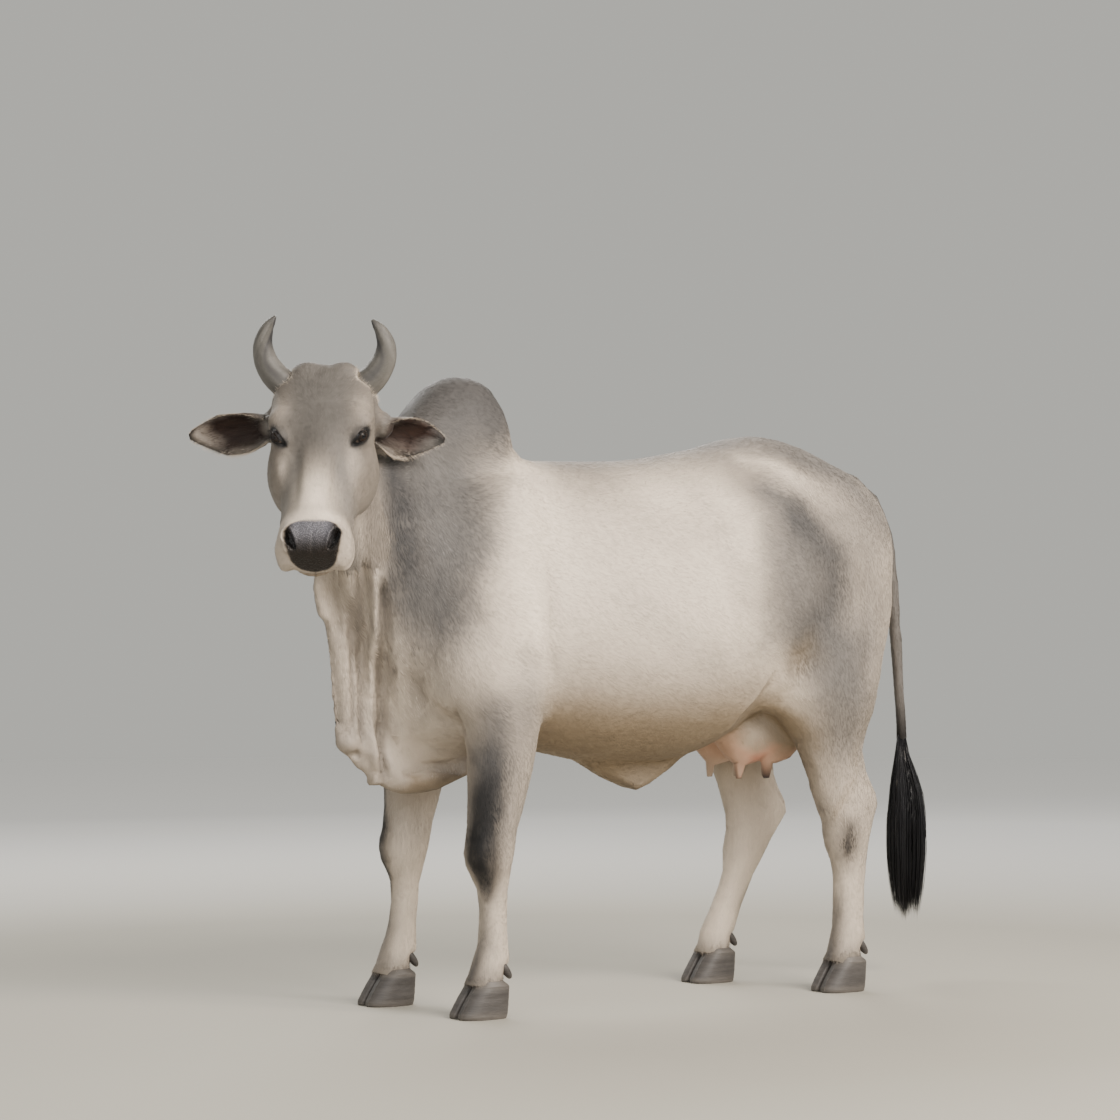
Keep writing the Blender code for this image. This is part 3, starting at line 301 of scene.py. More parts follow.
def mesh_of(name, points, triangles):
    """A new mesh object from arrays of points and triangles."""
    mesh = bpy.data.meshes.new(name)
    mesh.vertices.add(len(points))
    mesh.vertices.foreach_set("co", np.asarray(points, np.float32).ravel())
    mesh.loops.add(triangles.size)
    mesh.loops.foreach_set("vertex_index", np.asarray(triangles, np.int32).ravel())
    mesh.polygons.add(len(triangles))
    mesh.polygons.foreach_set("loop_start", np.arange(0, triangles.size, 3, dtype=np.int32))
    mesh.polygons.foreach_set("use_smooth", np.full(len(triangles), True))
    mesh.update(calc_edges=True)
    obj = bpy.data.objects.new(name, mesh)
    bpy.context.scene.collection.objects.link(obj)
    return obj


def paint(obj, name, colours):
    """Writes a colour for each vertex into a named attribute."""
    layer = obj.data.attributes.new(name, "FLOAT_COLOR", "POINT")
    rgba = np.ones((len(colours), 4), np.float32)
    rgba[:, : colours.shape[1]] = colours
    layer.data.foreach_set("color", rgba.ravel())


def note(obj, name, values):
    """Writes a number for each vertex into a named attribute."""
    layer = obj.data.attributes.new(name, "FLOAT", "POINT")
    layer.data.foreach_set("value", np.asarray(values, np.float32))


def strands(name, paths, side, width, thick, colour):
    """Thin closed tapering hairs: each follows its own row of points, is three-sided and ends in a point.

    paths is hairs x points x 3, side and the widths say how wide it is at each point but the last.
    """
    count, steps = paths.shape[:2]
    tangent = np.gradient(paths, axis=1)
    tangent /= np.maximum(np.linalg.norm(tangent, axis=2), 1e-9)[..., None]
    side = side - tangent * np.einsum("ijk,ijk->ij", side, tangent)[..., None]
    side /= np.maximum(np.linalg.norm(side, axis=2), 1e-9)[..., None]
    rise = np.cross(tangent, side)
    w, h = width[..., None] / 2, thick[..., None]
    rings = np.stack(
        (paths - side * w - rise * h / 3, paths + side * w - rise * h / 3, paths + rise * h * 2 / 3), axis=2
    )
    per = 3 * (steps - 1) + 1
    points = np.empty((count, per, 3))
    points[:, :-1] = rings[:, :-1].reshape(count, -1, 3)
    points[:, -1] = paths[:, -1]
    one = [(2, 1, 0)]
    for i in range(steps - 2):
        for k in range(3):
            a, b = 3 * i + k, 3 * i + (k + 1) % 3
            one += [(a, b, b + 3), (a, b + 3, a + 3)]
    last = 3 * (steps - 2)
    one += [(last + k, last + (k + 1) % 3, per - 1) for k in range(3)]
    faces = (np.array(one)[None] + (np.arange(count) * per)[:, None, None]).reshape(-1, 3)
    obj = mesh_of(name, points.reshape(-1, 3), faces)
    tint = np.empty((count, per, 3))
    if colour.ndim == 2:
        tint[:] = colour[:, None]
    else:
        tint[:, :-1] = np.repeat(colour[:, :-1], 3, axis=1)
        tint[:, -1] = colour[:, -1]
    paint(obj, "hide", tint.reshape(-1, 3))
    return obj


def tufts(name, paths, side, normal, width, colour, uv):
    """Flat closed tufts, pointed at both ends, that take the light as the skin below them does.

    paths is tufts x 3 x 3: the root, the widest place and the tip of each.
    """
    half, thick = side * (width / 2)[:, None], normal * (0.15 * width)[:, None]
    root, middle, tip = paths[:, 0], paths[:, 1], paths[:, 2]
    points = np.stack((root, middle - half, middle + half, middle + thick, tip), axis=1)
    one = np.array(((0, 2, 1), (0, 3, 2), (0, 1, 3), (1, 2, 4), (2, 3, 4), (3, 1, 4)))
    faces = (one[None] + (np.arange(len(paths)) * 5)[:, None, None]).reshape(-1, 3)
    obj = mesh_of(name, points.reshape(-1, 3), faces)
    paint(obj, "hide", colour.reshape(-1, 3))
    spot = uv[:, None] + np.array(((0, -1), (-1, 0), (1, 0), (0, 0), (0, 1)))[None] * 0.0015
    layer = obj.data.uv_layers.new(name="OFBake")
    layer.data.foreach_set("uv", spot.reshape(-1, 2)[faces.ravel()].astype(np.float32).ravel())
    lean = np.array((0.0, -0.3, 0.3, 0.0, 0.0))
    light = normal[:, None] + side[:, None] * lean[None, :, None]
    light /= np.linalg.norm(light, axis=2)[..., None]
    obj.data.normals_split_custom_set_from_vertices(light.reshape(-1, 3).tolist())
    return obj


def loft(name, rings):
    """Extrudes a circle through rows of points, as by hand, and closes it at both ends."""
    count = len(rings[0])
    deselect()
    bpy.ops.mesh.primitive_circle_add(vertices=count, radius=0.01, fill_type="NGON")
    obj = bpy.context.object
    obj.name = obj.data.name = name
    bpy.ops.object.mode_set(mode="EDIT")
    for i, ring in enumerate(rings):
        if i:
            bpy.ops.mesh.extrude_region_move()
        bm = bmesh.from_edit_mesh(obj.data)
        bm.verts.ensure_lookup_table()
        if i == 0:
            slots = list(range(count))
        else:
            # each new point stands for the one it grew from
            slots = [
                next(
                    e.other_vert(bm.verts[k]).index
                    for e in bm.verts[k].link_edges if e.other_vert(bm.verts[k]).select
                )
                for k in slots
            ]
        for k, place in zip(slots, ring):
            bm.verts[k].co = Vector(place)
        bmesh.update_edit_mesh(obj.data)
    bpy.ops.mesh.select_all(action="SELECT")
    bpy.ops.mesh.normals_make_consistent(inside=False)
    bpy.ops.object.mode_set(mode="OBJECT")
    mesh = obj.data
    points = read_points(mesh)
    obj.matrix_world = Matrix.Identity(4)
    write_points(mesh, points)
    return obj


def smooth_rows(rows, steps):
    """Rows of numbers read from a smooth curve through the given rows."""
    rows = np.array(rows, float)
    padded = np.vstack([2 * rows[0] - rows[1], rows, 2 * rows[-1] - rows[-2]])
    out = []
    for i in range(len(rows) - 1):
        a, b, c, d = padded[i : i + 4]
        for t in np.arange(steps) / steps:
            out.append(
                0.5 * (
                    2 * b + (c - a) * t + (2 * a - 5 * b + 4 * c - d) * t**2 + (3 * b - a - 3 * c + d) * t**3
                )
            )
    out.append(rows[-1])
    return np.array(out)


def join(name, objects):
    """Joins objects into one piece."""
    deselect()
    for obj in objects:
        obj.select_set(True)
    bpy.context.view_layer.objects.active = objects[0]
    if len(objects) > 1:
        bpy.ops.object.join()
    obj = bpy.context.view_layer.objects.active
    obj.name = obj.data.name = name
    return obj


def node_copy(node):
    """A merged copy of a CAD node's mesh, at the same place."""
    source = frame["nodes"][node]
    mesh = source.data.copy()
    mesh.transform(source.matrix_world)
    obj = bpy.data.objects.new(node + "_copy", mesh)
    bpy.context.scene.collection.objects.link(obj)
    mesh.materials.clear()
    on_all(obj, bpy.ops.mesh.remove_doubles, threshold=0.00002)
    return obj


# Materials


class Nodes:
    """A new material with its surface shader, and short ways to add and join nodes."""

    def __init__(self, name, **shader):
        self.material = bpy.data.materials.new(name)
        self.material.use_nodes = True
        self.tree = self.material.node_tree
        self.shader = self.tree.nodes["Principled BSDF"]
        for key, value in shader.items():
            self.shader.inputs[key.replace("_", " ")].default_value = value

    def add(self, kind, **settings):
        node = self.tree.nodes.new("ShaderNode" + kind)
        for key, value in settings.items():
            if key in node.bl_rna.properties:
                setattr(node, key, value)
            else:
                node.inputs[key.replace("_", " ")].default_value = value
        return node

    def link(self, source, target):
        self.tree.links.new(source, target)

    def feed(self, **sources):
        """Joins outputs to the surface shader's inputs of those names."""
        for key, source in sources.items():
            self.link(source, self.shader.inputs[key.replace("_", " ")])

    def grain(self, colour, pattern, amount, low, high, start=0.3, end=0.7):
        """A colour made darker and paler by a pattern."""
        low, high = (v if isinstance(v, tuple) else (v,) * 3 for v in (low, high))
        return self.mix(amount, colour, self.ramp(pattern, ((start, low), (end, high))), "MULTIPLY")

    def noise(self, scale, detail=3.0, roughness=0.6, stretch=None, grain=None, turn=0.0):
        """Noise over the piece's own coordinates, stretched or in grains of a given size where asked."""
        where = self.add("TexCoord").outputs["Object"]
        if stretch or grain:
            mapping = self.add("Mapping", vector_type="TEXTURE" if grain else "POINT")
            mapping.inputs["Scale"].default_value = grain or stretch
            mapping.inputs["Rotation"].default_value = (0, turn, 0)
            self.link(where, mapping.inputs["Vector"])
            where = mapping.outputs["Vector"]
        node = self.add("TexNoise", Scale=scale, Detail=detail, Roughness=roughness)
        self.link(where, node.inputs["Vector"])
        return node.outputs["Fac"]

    def ramp(self, source, stops):
        node = self.add("ValToRGB")
        ramp = node.color_ramp
        while len(ramp.elements) < len(stops):
            ramp.elements.new(0.5)
        for element, (place, colour) in zip(ramp.elements, stops):
            element.position = place
            element.color = colour if len(colour) == 4 else (*colour, 1)
        self.link(source, node.inputs["Fac"])
        return node.outputs["Color"]

    def value(self, operation, a, b, clamp=False):
        node = self.add("Math", operation=operation, use_clamp=clamp)
        for socket, x in zip(node.inputs, (a, b)):
            if isinstance(x, (int, float)):
                socket.default_value = x
            else:
                self.link(x, socket)
        return node.outputs[0]

    def mix(self, factor, a, b, blend="MIX"):
        node = self.add("Mix", data_type="RGBA", blend_type=blend)
        for socket, x in zip((node.inputs[0], node.inputs[6], node.inputs[7]), (factor, a, b)):
            if isinstance(x, (int, float)):
                socket.default_value = x
            elif isinstance(x, tuple):
                socket.default_value = (*x, 1)
            else:
                self.link(x, socket)
        return node.outputs[2]

    def bump(self, height, strength, distance, below=None):
        node = self.add("Bump", Strength=strength, Distance=distance)
        self.link(height, node.inputs["Height"])
        if below is not None:
            self.link(below, node.inputs["Normal"])
        return node.outputs["Normal"]

    def attribute(self, name, output="Color"):
        return self.add("Attribute", attribute_name=name).outputs[output]


# Colours of the hide, from named marks


def tone(group, name):
    return np.array(getattr(group, name)[:3])


FORE_SHIFT, HIND_SHIFT = -0.032, -0.03
TAIL_LINE = (
    (0.73, 0.04, 1.24), (0.78, 0.04, 1.226), (0.844, 0.04, 1.178), (0.888, 0.04, 1.09), (0.91, 0.04, 0.97)
)
TAIL_CREASE = (
    (0.735, 0.008, 1.235), (0.785, 0.008, 1.205), (0.835, 0.01, 1.14), (0.862, 0.012, 1.06),
    (0.872, 0.014, 0.98)
)

BODY_MARKS = (
    # tone, strength, softness, half width, line of the mark on the cow's left
    ("cream", 0.7, 3.0, 0.19, ((-0.19, -0.18, 1.0), (0.0, -0.22, 0.96), (0.15, -0.24, 0.95))),
    (
        "cream", 1.0, 2.5, 0.088,
        ((-0.25, -0.1, 1.17), (-0.27, -0.185, 1.02), (-0.29, -0.19, 0.9), (-0.3, -0.195, 0.8))
    ),
    ("cream", 0.85, 2.0, 0.08, ((0.1, -0.12, 1.19), (0.224, -0.13, 1.18), (0.28, -0.2, 1.08))),
    ("cream", 0.6, 2.0, 0.05, ((0.31, -0.24, 0.86), (0.37, -0.2, 0.76), (0.45, -0.19, 0.71))),
    ("cream", 0.5, 2.5, 0.11, ((-0.5, -0.03, 0.8), (-0.48, -0.02, 0.66))),
    # painted light that lifts the shade of the downward-facing lower dewlap
    ("cream", 0.9, 2.5, 0.06, ((-0.46, 0.0, 0.62), (-0.42, 0.0, 0.58))),
    # the hump's own dark hair, darkened further by painted shade
    ("smoke", 0.97, 4.0, 0.158, ((-0.44, 0.03, 1.345), (-0.37, 0.03, 1.385), (-0.31, 0.03, 1.37))),
    ("grey", 0.96, 3.0, 0.12, ((-0.49, -0.05, 1.25), (-0.455, -0.09, 1.17))),
    ("grey", 0.94, 2.4, 0.094, ((-0.46, -0.09, 1.17), (-0.464, -0.125, 1.06))),
    ("grey", 0.88, 2.2, 0.072, ((-0.464, -0.125, 1.06), (-0.472, -0.142, 0.96), (-0.48, -0.146, 0.9))),
    (
        "cream", 1.0, 2.4, 0.06,
        ((-0.2, -0.04, 1.23), (-0.23, -0.1, 1.18), (-0.255, -0.15, 1.1), (-0.275, -0.185, 1.0))
    ),
    # dark hair of the neck behind the jaw, with the head's painted shadow over it, darkest along the black
    # line next
    (
        "smoke", 1.0, 2.4, 0.06,
        (
            (-0.6, -0.09, 1.22), (-0.578, -0.107, 1.154), (-0.583, -0.115, 1.087), (-0.571, -0.116, 1.021),
            (-0.55, -0.114, 0.94)
        )
    ),
    ("black", 0.45, 2.0, 0.036, ((-0.59, -0.1, 1.16), (-0.578, -0.114, 1.08), (-0.57, -0.116, 1.0))),
    ("smoke", 0.55, 2.0, 0.04, ((-0.5, -0.13, 0.98), (-0.478, -0.145, 0.9))),
    ("grey", 0.6, 2.0, 0.06, ((-0.544, -0.114, 0.933), (-0.516, -0.109, 0.844))),
    ("grey", 0.3, 2.0, 0.06, ((-0.545, -0.048, 0.777), (-0.456, -0.162, 0.733))),
    ("grey", 0.55, 2.0, 0.048, ((-0.305, -0.195, 0.79), (-0.29, -0.19, 0.7))),
    # painted shade along the top of the back
    (
        "grey", 0.66, 2.0, 0.074,
        ((-0.1, 0.04, 1.258), (-0.05, 0.04, 1.265), (0.1, 0.04, 1.29), (0.3, 0.04, 1.33))
    ),
    # painted shade on the top of the rump
    ("grey", 0.75, 2.0, 0.075, ((0.36, 0.03, 1.31), (0.45, 0.02, 1.32), (0.53, 0.0, 1.3), (0.62, 0.0, 1.26))),
    (
        "grey", 0.8, 2.0, 0.06,
        ((0.5, -0.1, 1.27), (0.597, -0.121, 1.25), (0.66, -0.13, 1.2), (0.72, -0.13, 1.13))
    ),
    # painted highlight along the ridge from the hook bone down to the thurl
    (
        "cream", 0.7, 2.0, 0.022,
        ((0.35, -0.1, 1.29), (0.39, -0.142, 1.264), (0.443, -0.185, 1.225), (0.505, -0.185, 1.18))
    ),
    ("grey", 0.86, 3.0, 0.1, ((0.455, -0.2, 1.04), (0.455, -0.2, 0.9))),
    ("grey", 0.5, 2.0, 0.048, ((0.385, -0.225, 1.06), (0.38, -0.235, 0.98), (0.385, -0.235, 0.88))),
    ("smoke", 0.8, 2.0, 0.045, ((0.355, -0.18, 1.19), (0.396, -0.193, 1.165), (0.44, -0.199, 1.135))),
    (
        "smoke", 0.9, 2.4, 0.06,
        (
            (0.44, -0.199, 1.13), (0.491, -0.203, 1.1), (0.545, -0.205, 1.05), (0.555, -0.205, 0.985),
            (0.54, -0.204, 0.913), (0.5, -0.204, 0.854), (0.46, -0.2, 0.82)
        )
    ),
    ("bronze", 0.55, 2.0, 0.036, ((0.475, -0.2, 0.825), (0.435, -0.2, 0.8))),
    (
        "grey", 0.5, 2.0, 0.04,
        ((0.35, -0.201, 1.124), (0.335, -0.233, 1.029), (0.33, -0.25, 0.936), (0.32, -0.252, 0.84))
    ),
    (
        "grey", 0.45, 2.0, 0.055,
        ((0.636, -0.188, 1.129), (0.659, -0.197, 1.034), (0.679, -0.19, 0.938), (0.65, -0.205, 0.842))
    ),
    ("grey", 0.95, 2.4, 0.108, ((0.57, -0.2, 0.8), (0.575, -0.2, 0.72), (0.58, -0.19, 0.65))),
    (
        "grey", 0.22, 2.0, 0.028,
        ((0.19, -0.12, 1.2), (0.215, -0.19, 1.122), (0.235, -0.234, 1.028), (0.25, -0.252, 0.936))
    ),
    ("grey", 0.2, 2.0, 0.05, ((-0.05, -0.235, 0.93), (0.05, -0.245, 0.86), (0.16, -0.245, 0.8))),
)
LEG_MARKS = (
    # tone, strength, softness, half width, which legs, line of the mark on the left leg
    (
        "smoke", 0.8, 2.2, 0.052, FORE_SHIFT,
        ((-0.385, -0.19, 0.68), (-0.384, -0.188, 0.63), (-0.384, -0.178, 0.56))
    ),
    (
        "smoke", 1.0, 3.0, 0.05, FORE_SHIFT,
        ((-0.38, -0.178, 0.57), (-0.386, -0.171, 0.488), (-0.398, -0.162, 0.42))
    ),
    ("black", 0.9, 2.4, 0.036, FORE_SHIFT, ((-0.388, -0.171, 0.52), (-0.4, -0.161, 0.42))),
    (
        "black", 1.0, 4.0, 0.046, FORE_SHIFT,
        ((-0.402, -0.158, 0.415), (-0.402, -0.156, 0.37), (-0.398, -0.154, 0.34))
    ),
    ("black", 0.95, 3.0, 0.03, FORE_SHIFT, ((-0.398, -0.154, 0.335), (-0.386, -0.148, 0.295))),
    ("smoke", 0.75, 2.0, 0.018, FORE_SHIFT, ((-0.39, -0.15, 0.29), (-0.386, -0.14, 0.18))),
    ("smoke", 0.85, 2.0, 0.028, FORE_SHIFT, ((-0.392, -0.135, 0.17), (-0.402, -0.125, 0.09))),
    ("smoke", 0.85, 2.0, 0.03, HIND_SHIFT, ((0.6, -0.125, 0.2), (0.59, -0.125, 0.09))),
    # painted shade along the hind tendon
    (
        "bronze", 0.35, 2.0, 0.01, HIND_SHIFT,
        ((0.63, -0.179, 0.552), (0.59, -0.166, 0.446), (0.575, -0.145, 0.41))
    ),
    ("grey", 0.45, 2.0, 0.016, HIND_SHIFT, ((0.562, -0.13, 0.445), (0.56, -0.15, 0.425))),
)
FLAT = vec(1.0, 0.5, 1.0)


# Folds of the hide: long ones from throat to brisket, then shoulder, flank, haunch, legs, tail and udder

FOLDS = (
    # half width, height or depth, share of the length that each end fades over, which legs, line on the left
    (0.015, 0.0081, 0.25, 0, ((-0.735, 0.01, 0.985), (-0.722, 0.011, 0.935), (-0.697, 0.012, 0.875))),
    (0.01, -0.0081, 0.25, 0, ((-0.712, -0.012, 0.975), (-0.69, -0.01, 0.905), (-0.672, 0, 0.85))),
    (
        0.016, 0.007, 0.25, 0,
        (
            (-0.582, -0.092, 0.889), (-0.558, -0.057, 0.799), (-0.526, -0.013, 0.709), (-0.503, 0.019, 0.618),
            (-0.481, 0.021, 0.55)
        )
    ),
    (0.009, -0.0108, 0.1, 0, ((-0.655, 0.028, 0.59), (-0.633, 0.024, 0.58), (-0.608, 0.024, 0.588))),
    (
        0.009, -0.0175, 0.08, 0,
        ((-0.5, 0.012, 0.54), (-0.445, 0.022, 0.556), (-0.398, 0.026, 0.556), (-0.342, 0.014, 0.545))
    ),
    (
        0.012, 0.0095, 0.1, 0,
        ((-0.5, 0.006, 0.56), (-0.445, 0.01, 0.576), (-0.398, 0.01, 0.576), (-0.35, 0.004, 0.566))
    ),
    (0.018, 0.007, 0.25, 0, ((-0.504, -0.062, 0.737), (-0.475, -0.105, 0.712), (-0.44, -0.13, 0.69))),
    (0.008, -0.0108, 0.25, 0, ((-0.46, -0.133, 0.7), (-0.43, -0.11, 0.668), (-0.405, -0.085, 0.64))),
    (0.022, -0.0081, 0.25, 0, ((-0.525, -0.06, 0.8), (-0.5, -0.06, 0.735), (-0.48, -0.04, 0.68))),
    (
        0.028, 0.005, 0.25, 0,
        ((-0.33, -0.06, 1.24), (-0.375, -0.13, 1.11), (-0.41, -0.17, 0.96), (-0.44, -0.19, 0.84))
    ),
    (
        0.022, -0.008, 0.3, 0,
        ((-0.225, -0.15, 1.08), (-0.238, -0.195, 0.96), (-0.24, -0.205, 0.851), (-0.222, -0.17, 0.702))
    ),
    (0.03, 0.006, 0.25, 0, ((-0.3, -0.19, 1), (-0.29, -0.205, 0.9), (-0.275, -0.2, 0.8))),
    (0.016, -0.005, 0.25, 0, ((-0.35, -0.195, 0.96), (-0.335, -0.205, 0.86), (-0.33, -0.2, 0.76))),
    (
        0.016, 0.008, 0.25, 0,
        ((0.24, -0.11, 0.602), (0.29, -0.185, 0.665), (0.33, -0.2, 0.73), (0.355, -0.195, 0.83))
    ),
    (0.012, -0.006, 0.25, 0, ((0.3, -0.17, 0.64), (0.352, -0.19, 0.72), (0.385, -0.195, 0.82))),
    (
        0.02, -0.006, 0.25, 0,
        ((0.59, -0.18, 1.1), (0.64, -0.195, 0.96), (0.635, -0.2, 0.8), (0.62, -0.19, 0.68))
    ),
    (0.03, 0.005, 0.25, 0, ((0.43, -0.205, 1.08), (0.45, -0.205, 0.94), (0.44, -0.2, 0.8))),
    (0.01, -0.004, 0.25, FORE_SHIFT, ((-0.345, -0.18, 0.64), (-0.345, -0.172, 0.54), (-0.35, -0.165, 0.46))),
    (0.02, 0.004, 0.25, FORE_SHIFT, ((-0.398, -0.158, 0.4), (-0.4, -0.158, 0.35))),
    (0.012, -0.006, 0.25, HIND_SHIFT, ((0.64, -0.172, 0.64), (0.655, -0.165, 0.55), (0.662, -0.158, 0.49))),
    (0.009, 0.0035, 0.25, HIND_SHIFT, ((0.632, -0.18, 0.56), (0.6, -0.168, 0.47), (0.575, -0.15, 0.41))),
    (0.006, -0.004, 0.25, HIND_SHIFT, ((0.562, -0.105, 0.436), (0.566, -0.135, 0.44), (0.585, -0.16, 0.448))),
    (0.005, -0.0025, 0.25, HIND_SHIFT, ((0.56, -0.108, 0.455), (0.566, -0.14, 0.462))),
    (0.009, -0.01, 0.15, 0, TAIL_CREASE),
    (0.011, -0.004, 0.25, 0, ((0.435, -0.05, 0.64), (0.44, -0.035, 0.58), (0.44, 0, 0.56))),
    (0.004, 0.0016, 0.25, 0, ((0.345, -0.06, 0.64), (0.395, -0.055, 0.625), (0.45, -0.06, 0.64))),
    (0.008, -0.003, 0.25, 0, ((0.07, 0.02, 0.56), (0.1, 0.028, 0.52), (0.118, 0.034, 0.5))),
)
# ribs, and the wrinkles of the knees and tendons
FOLDS += tuple(
    (
        0.012, 0.0018, 0.35, 0,
        ((x0, -0.17, 1.12), (x0 + 0.012, -0.24, 0.98), (x0 + 0.03, -0.26, 0.84), (x0 + 0.055, -0.21, 0.71))
    )
    for x0 in np.arange(9) * 0.043 - 0.17
)
FOLDS += tuple(
    (
        0.005, -0.002, 0.25, FORE_SHIFT,
        ((-0.404, -0.15, z0), (-0.408, -0.12, z0 - 0.004), (-0.4, -0.095, z0))
    ) for z0 in (0.338, 0.402)
)
for y0 in (-0.158, -0.094):
    FOLDS += (
        (0.006, -0.003, 0.25, FORE_SHIFT, ((-0.34, y0, 0.31), (-0.338, y0, 0.23), (-0.34, y0, 0.16))),
        (
            0.007, -0.003, 0.25, HIND_SHIFT,
            ((0.652, y0 - 0.003, 0.35), (0.655, y0 - 0.003, 0.25), (0.655, y0 - 0.003, 0.17))
        ),
    )


DROPS = (
    # half width, height or depth, line of a fold of the dewlap as seen from the cow's side
    (0.0085, -0.01, ((-0.684, 1.01), (-0.664, 0.92), (-0.64, 0.822), (-0.633, 0.732), (-0.628, 0.64))),
    (
        0.009, -0.014,
        ((-0.668, 1.03), (-0.652, 0.933), (-0.627, 0.844), (-0.611, 0.754), (-0.608, 0.665), (-0.603, 0.6))
    ),
    (0.011, 0.009, ((-0.645, 1.02), (-0.624, 0.9), (-0.59, 0.754), (-0.579, 0.62), (-0.565, 0.54))),
    (
        0.011, -0.018,
        ((-0.622, 0.985), (-0.597, 0.844), (-0.568, 0.754), (-0.553, 0.664), (-0.549, 0.56), (-0.54, 0.515))
    ),
    (0.01, -0.009, ((-0.712, 0.9), (-0.69, 0.81), (-0.672, 0.72), (-0.663, 0.64))),
)


def folds(points):
    """The height of the hide's folds, or their depth below zero."""
    h = np.zeros(len(points))
    for width, height, path in DROPS:
        h += ridge(points * vec(1, 0, 1), [(px, 0.0, pz) for px, pz in path], width, height, 0.1)
    for width, height, fade, shift, path in FOLDS:
        for line in (path, other_side(path, shift)):
            h += ridge(points, line, width, height, fade)
    return h


BULGES = (
    # middle on the cow's left, radii, height, which legs
    ((-0.633, 0.024, 0.612), (0.022, 0.02, 0.022), 0.013, 0),
    ((-0.566, 0.028, 0.527), (0.015, 0.02, 0.013), 0.009, 0),
    ((-0.45, -0.165, 0.82), (0.045, 0.05, 0.055), 0.007, 0),
    ((-0.275, -0.185, 0.725), (0.035, 0.04, 0.04), 0.006, 0),
    ((0.25, -0.15, 1.13), (0.07, 0.06, 0.055), -0.008, 0),
    ((0.345, -0.15, 1.2), (0.035, 0.04, 0.03), 0.008, 0),
    ((0.69, -0.055, 1.165), (0.03, 0.03, 0.035), 0.006, 0),
    ((0.405, -0.195, 0.74), (0.045, 0.04, 0.05), 0.006, 0),
    ((-0.33, -0.125, 0.128), (0.02, 0.025, 0.02), 0.004, FORE_SHIFT),
    ((0.615, -0.165, 0.4), (0.018, 0.02, 0.028), 0.004, HIND_SHIFT),
)


def ear_place(points, sign):
    """How far points lie along an ear, across it and in front of its spine, with the ear's own axes."""
    axis, front, wide, root = ear_axes(sign)
    q = points - root
    return q @ axis / EAR_LENGTH, q @ wide, q @ front


def within_ear(t, w, f, first, last, reach=0.06):
    """Whether places lie between two shares of an ear's length and within a reach of its spine."""
    return (t > first) & (t < last) & (np.abs(w) < reach) & (np.abs(f) < reach)


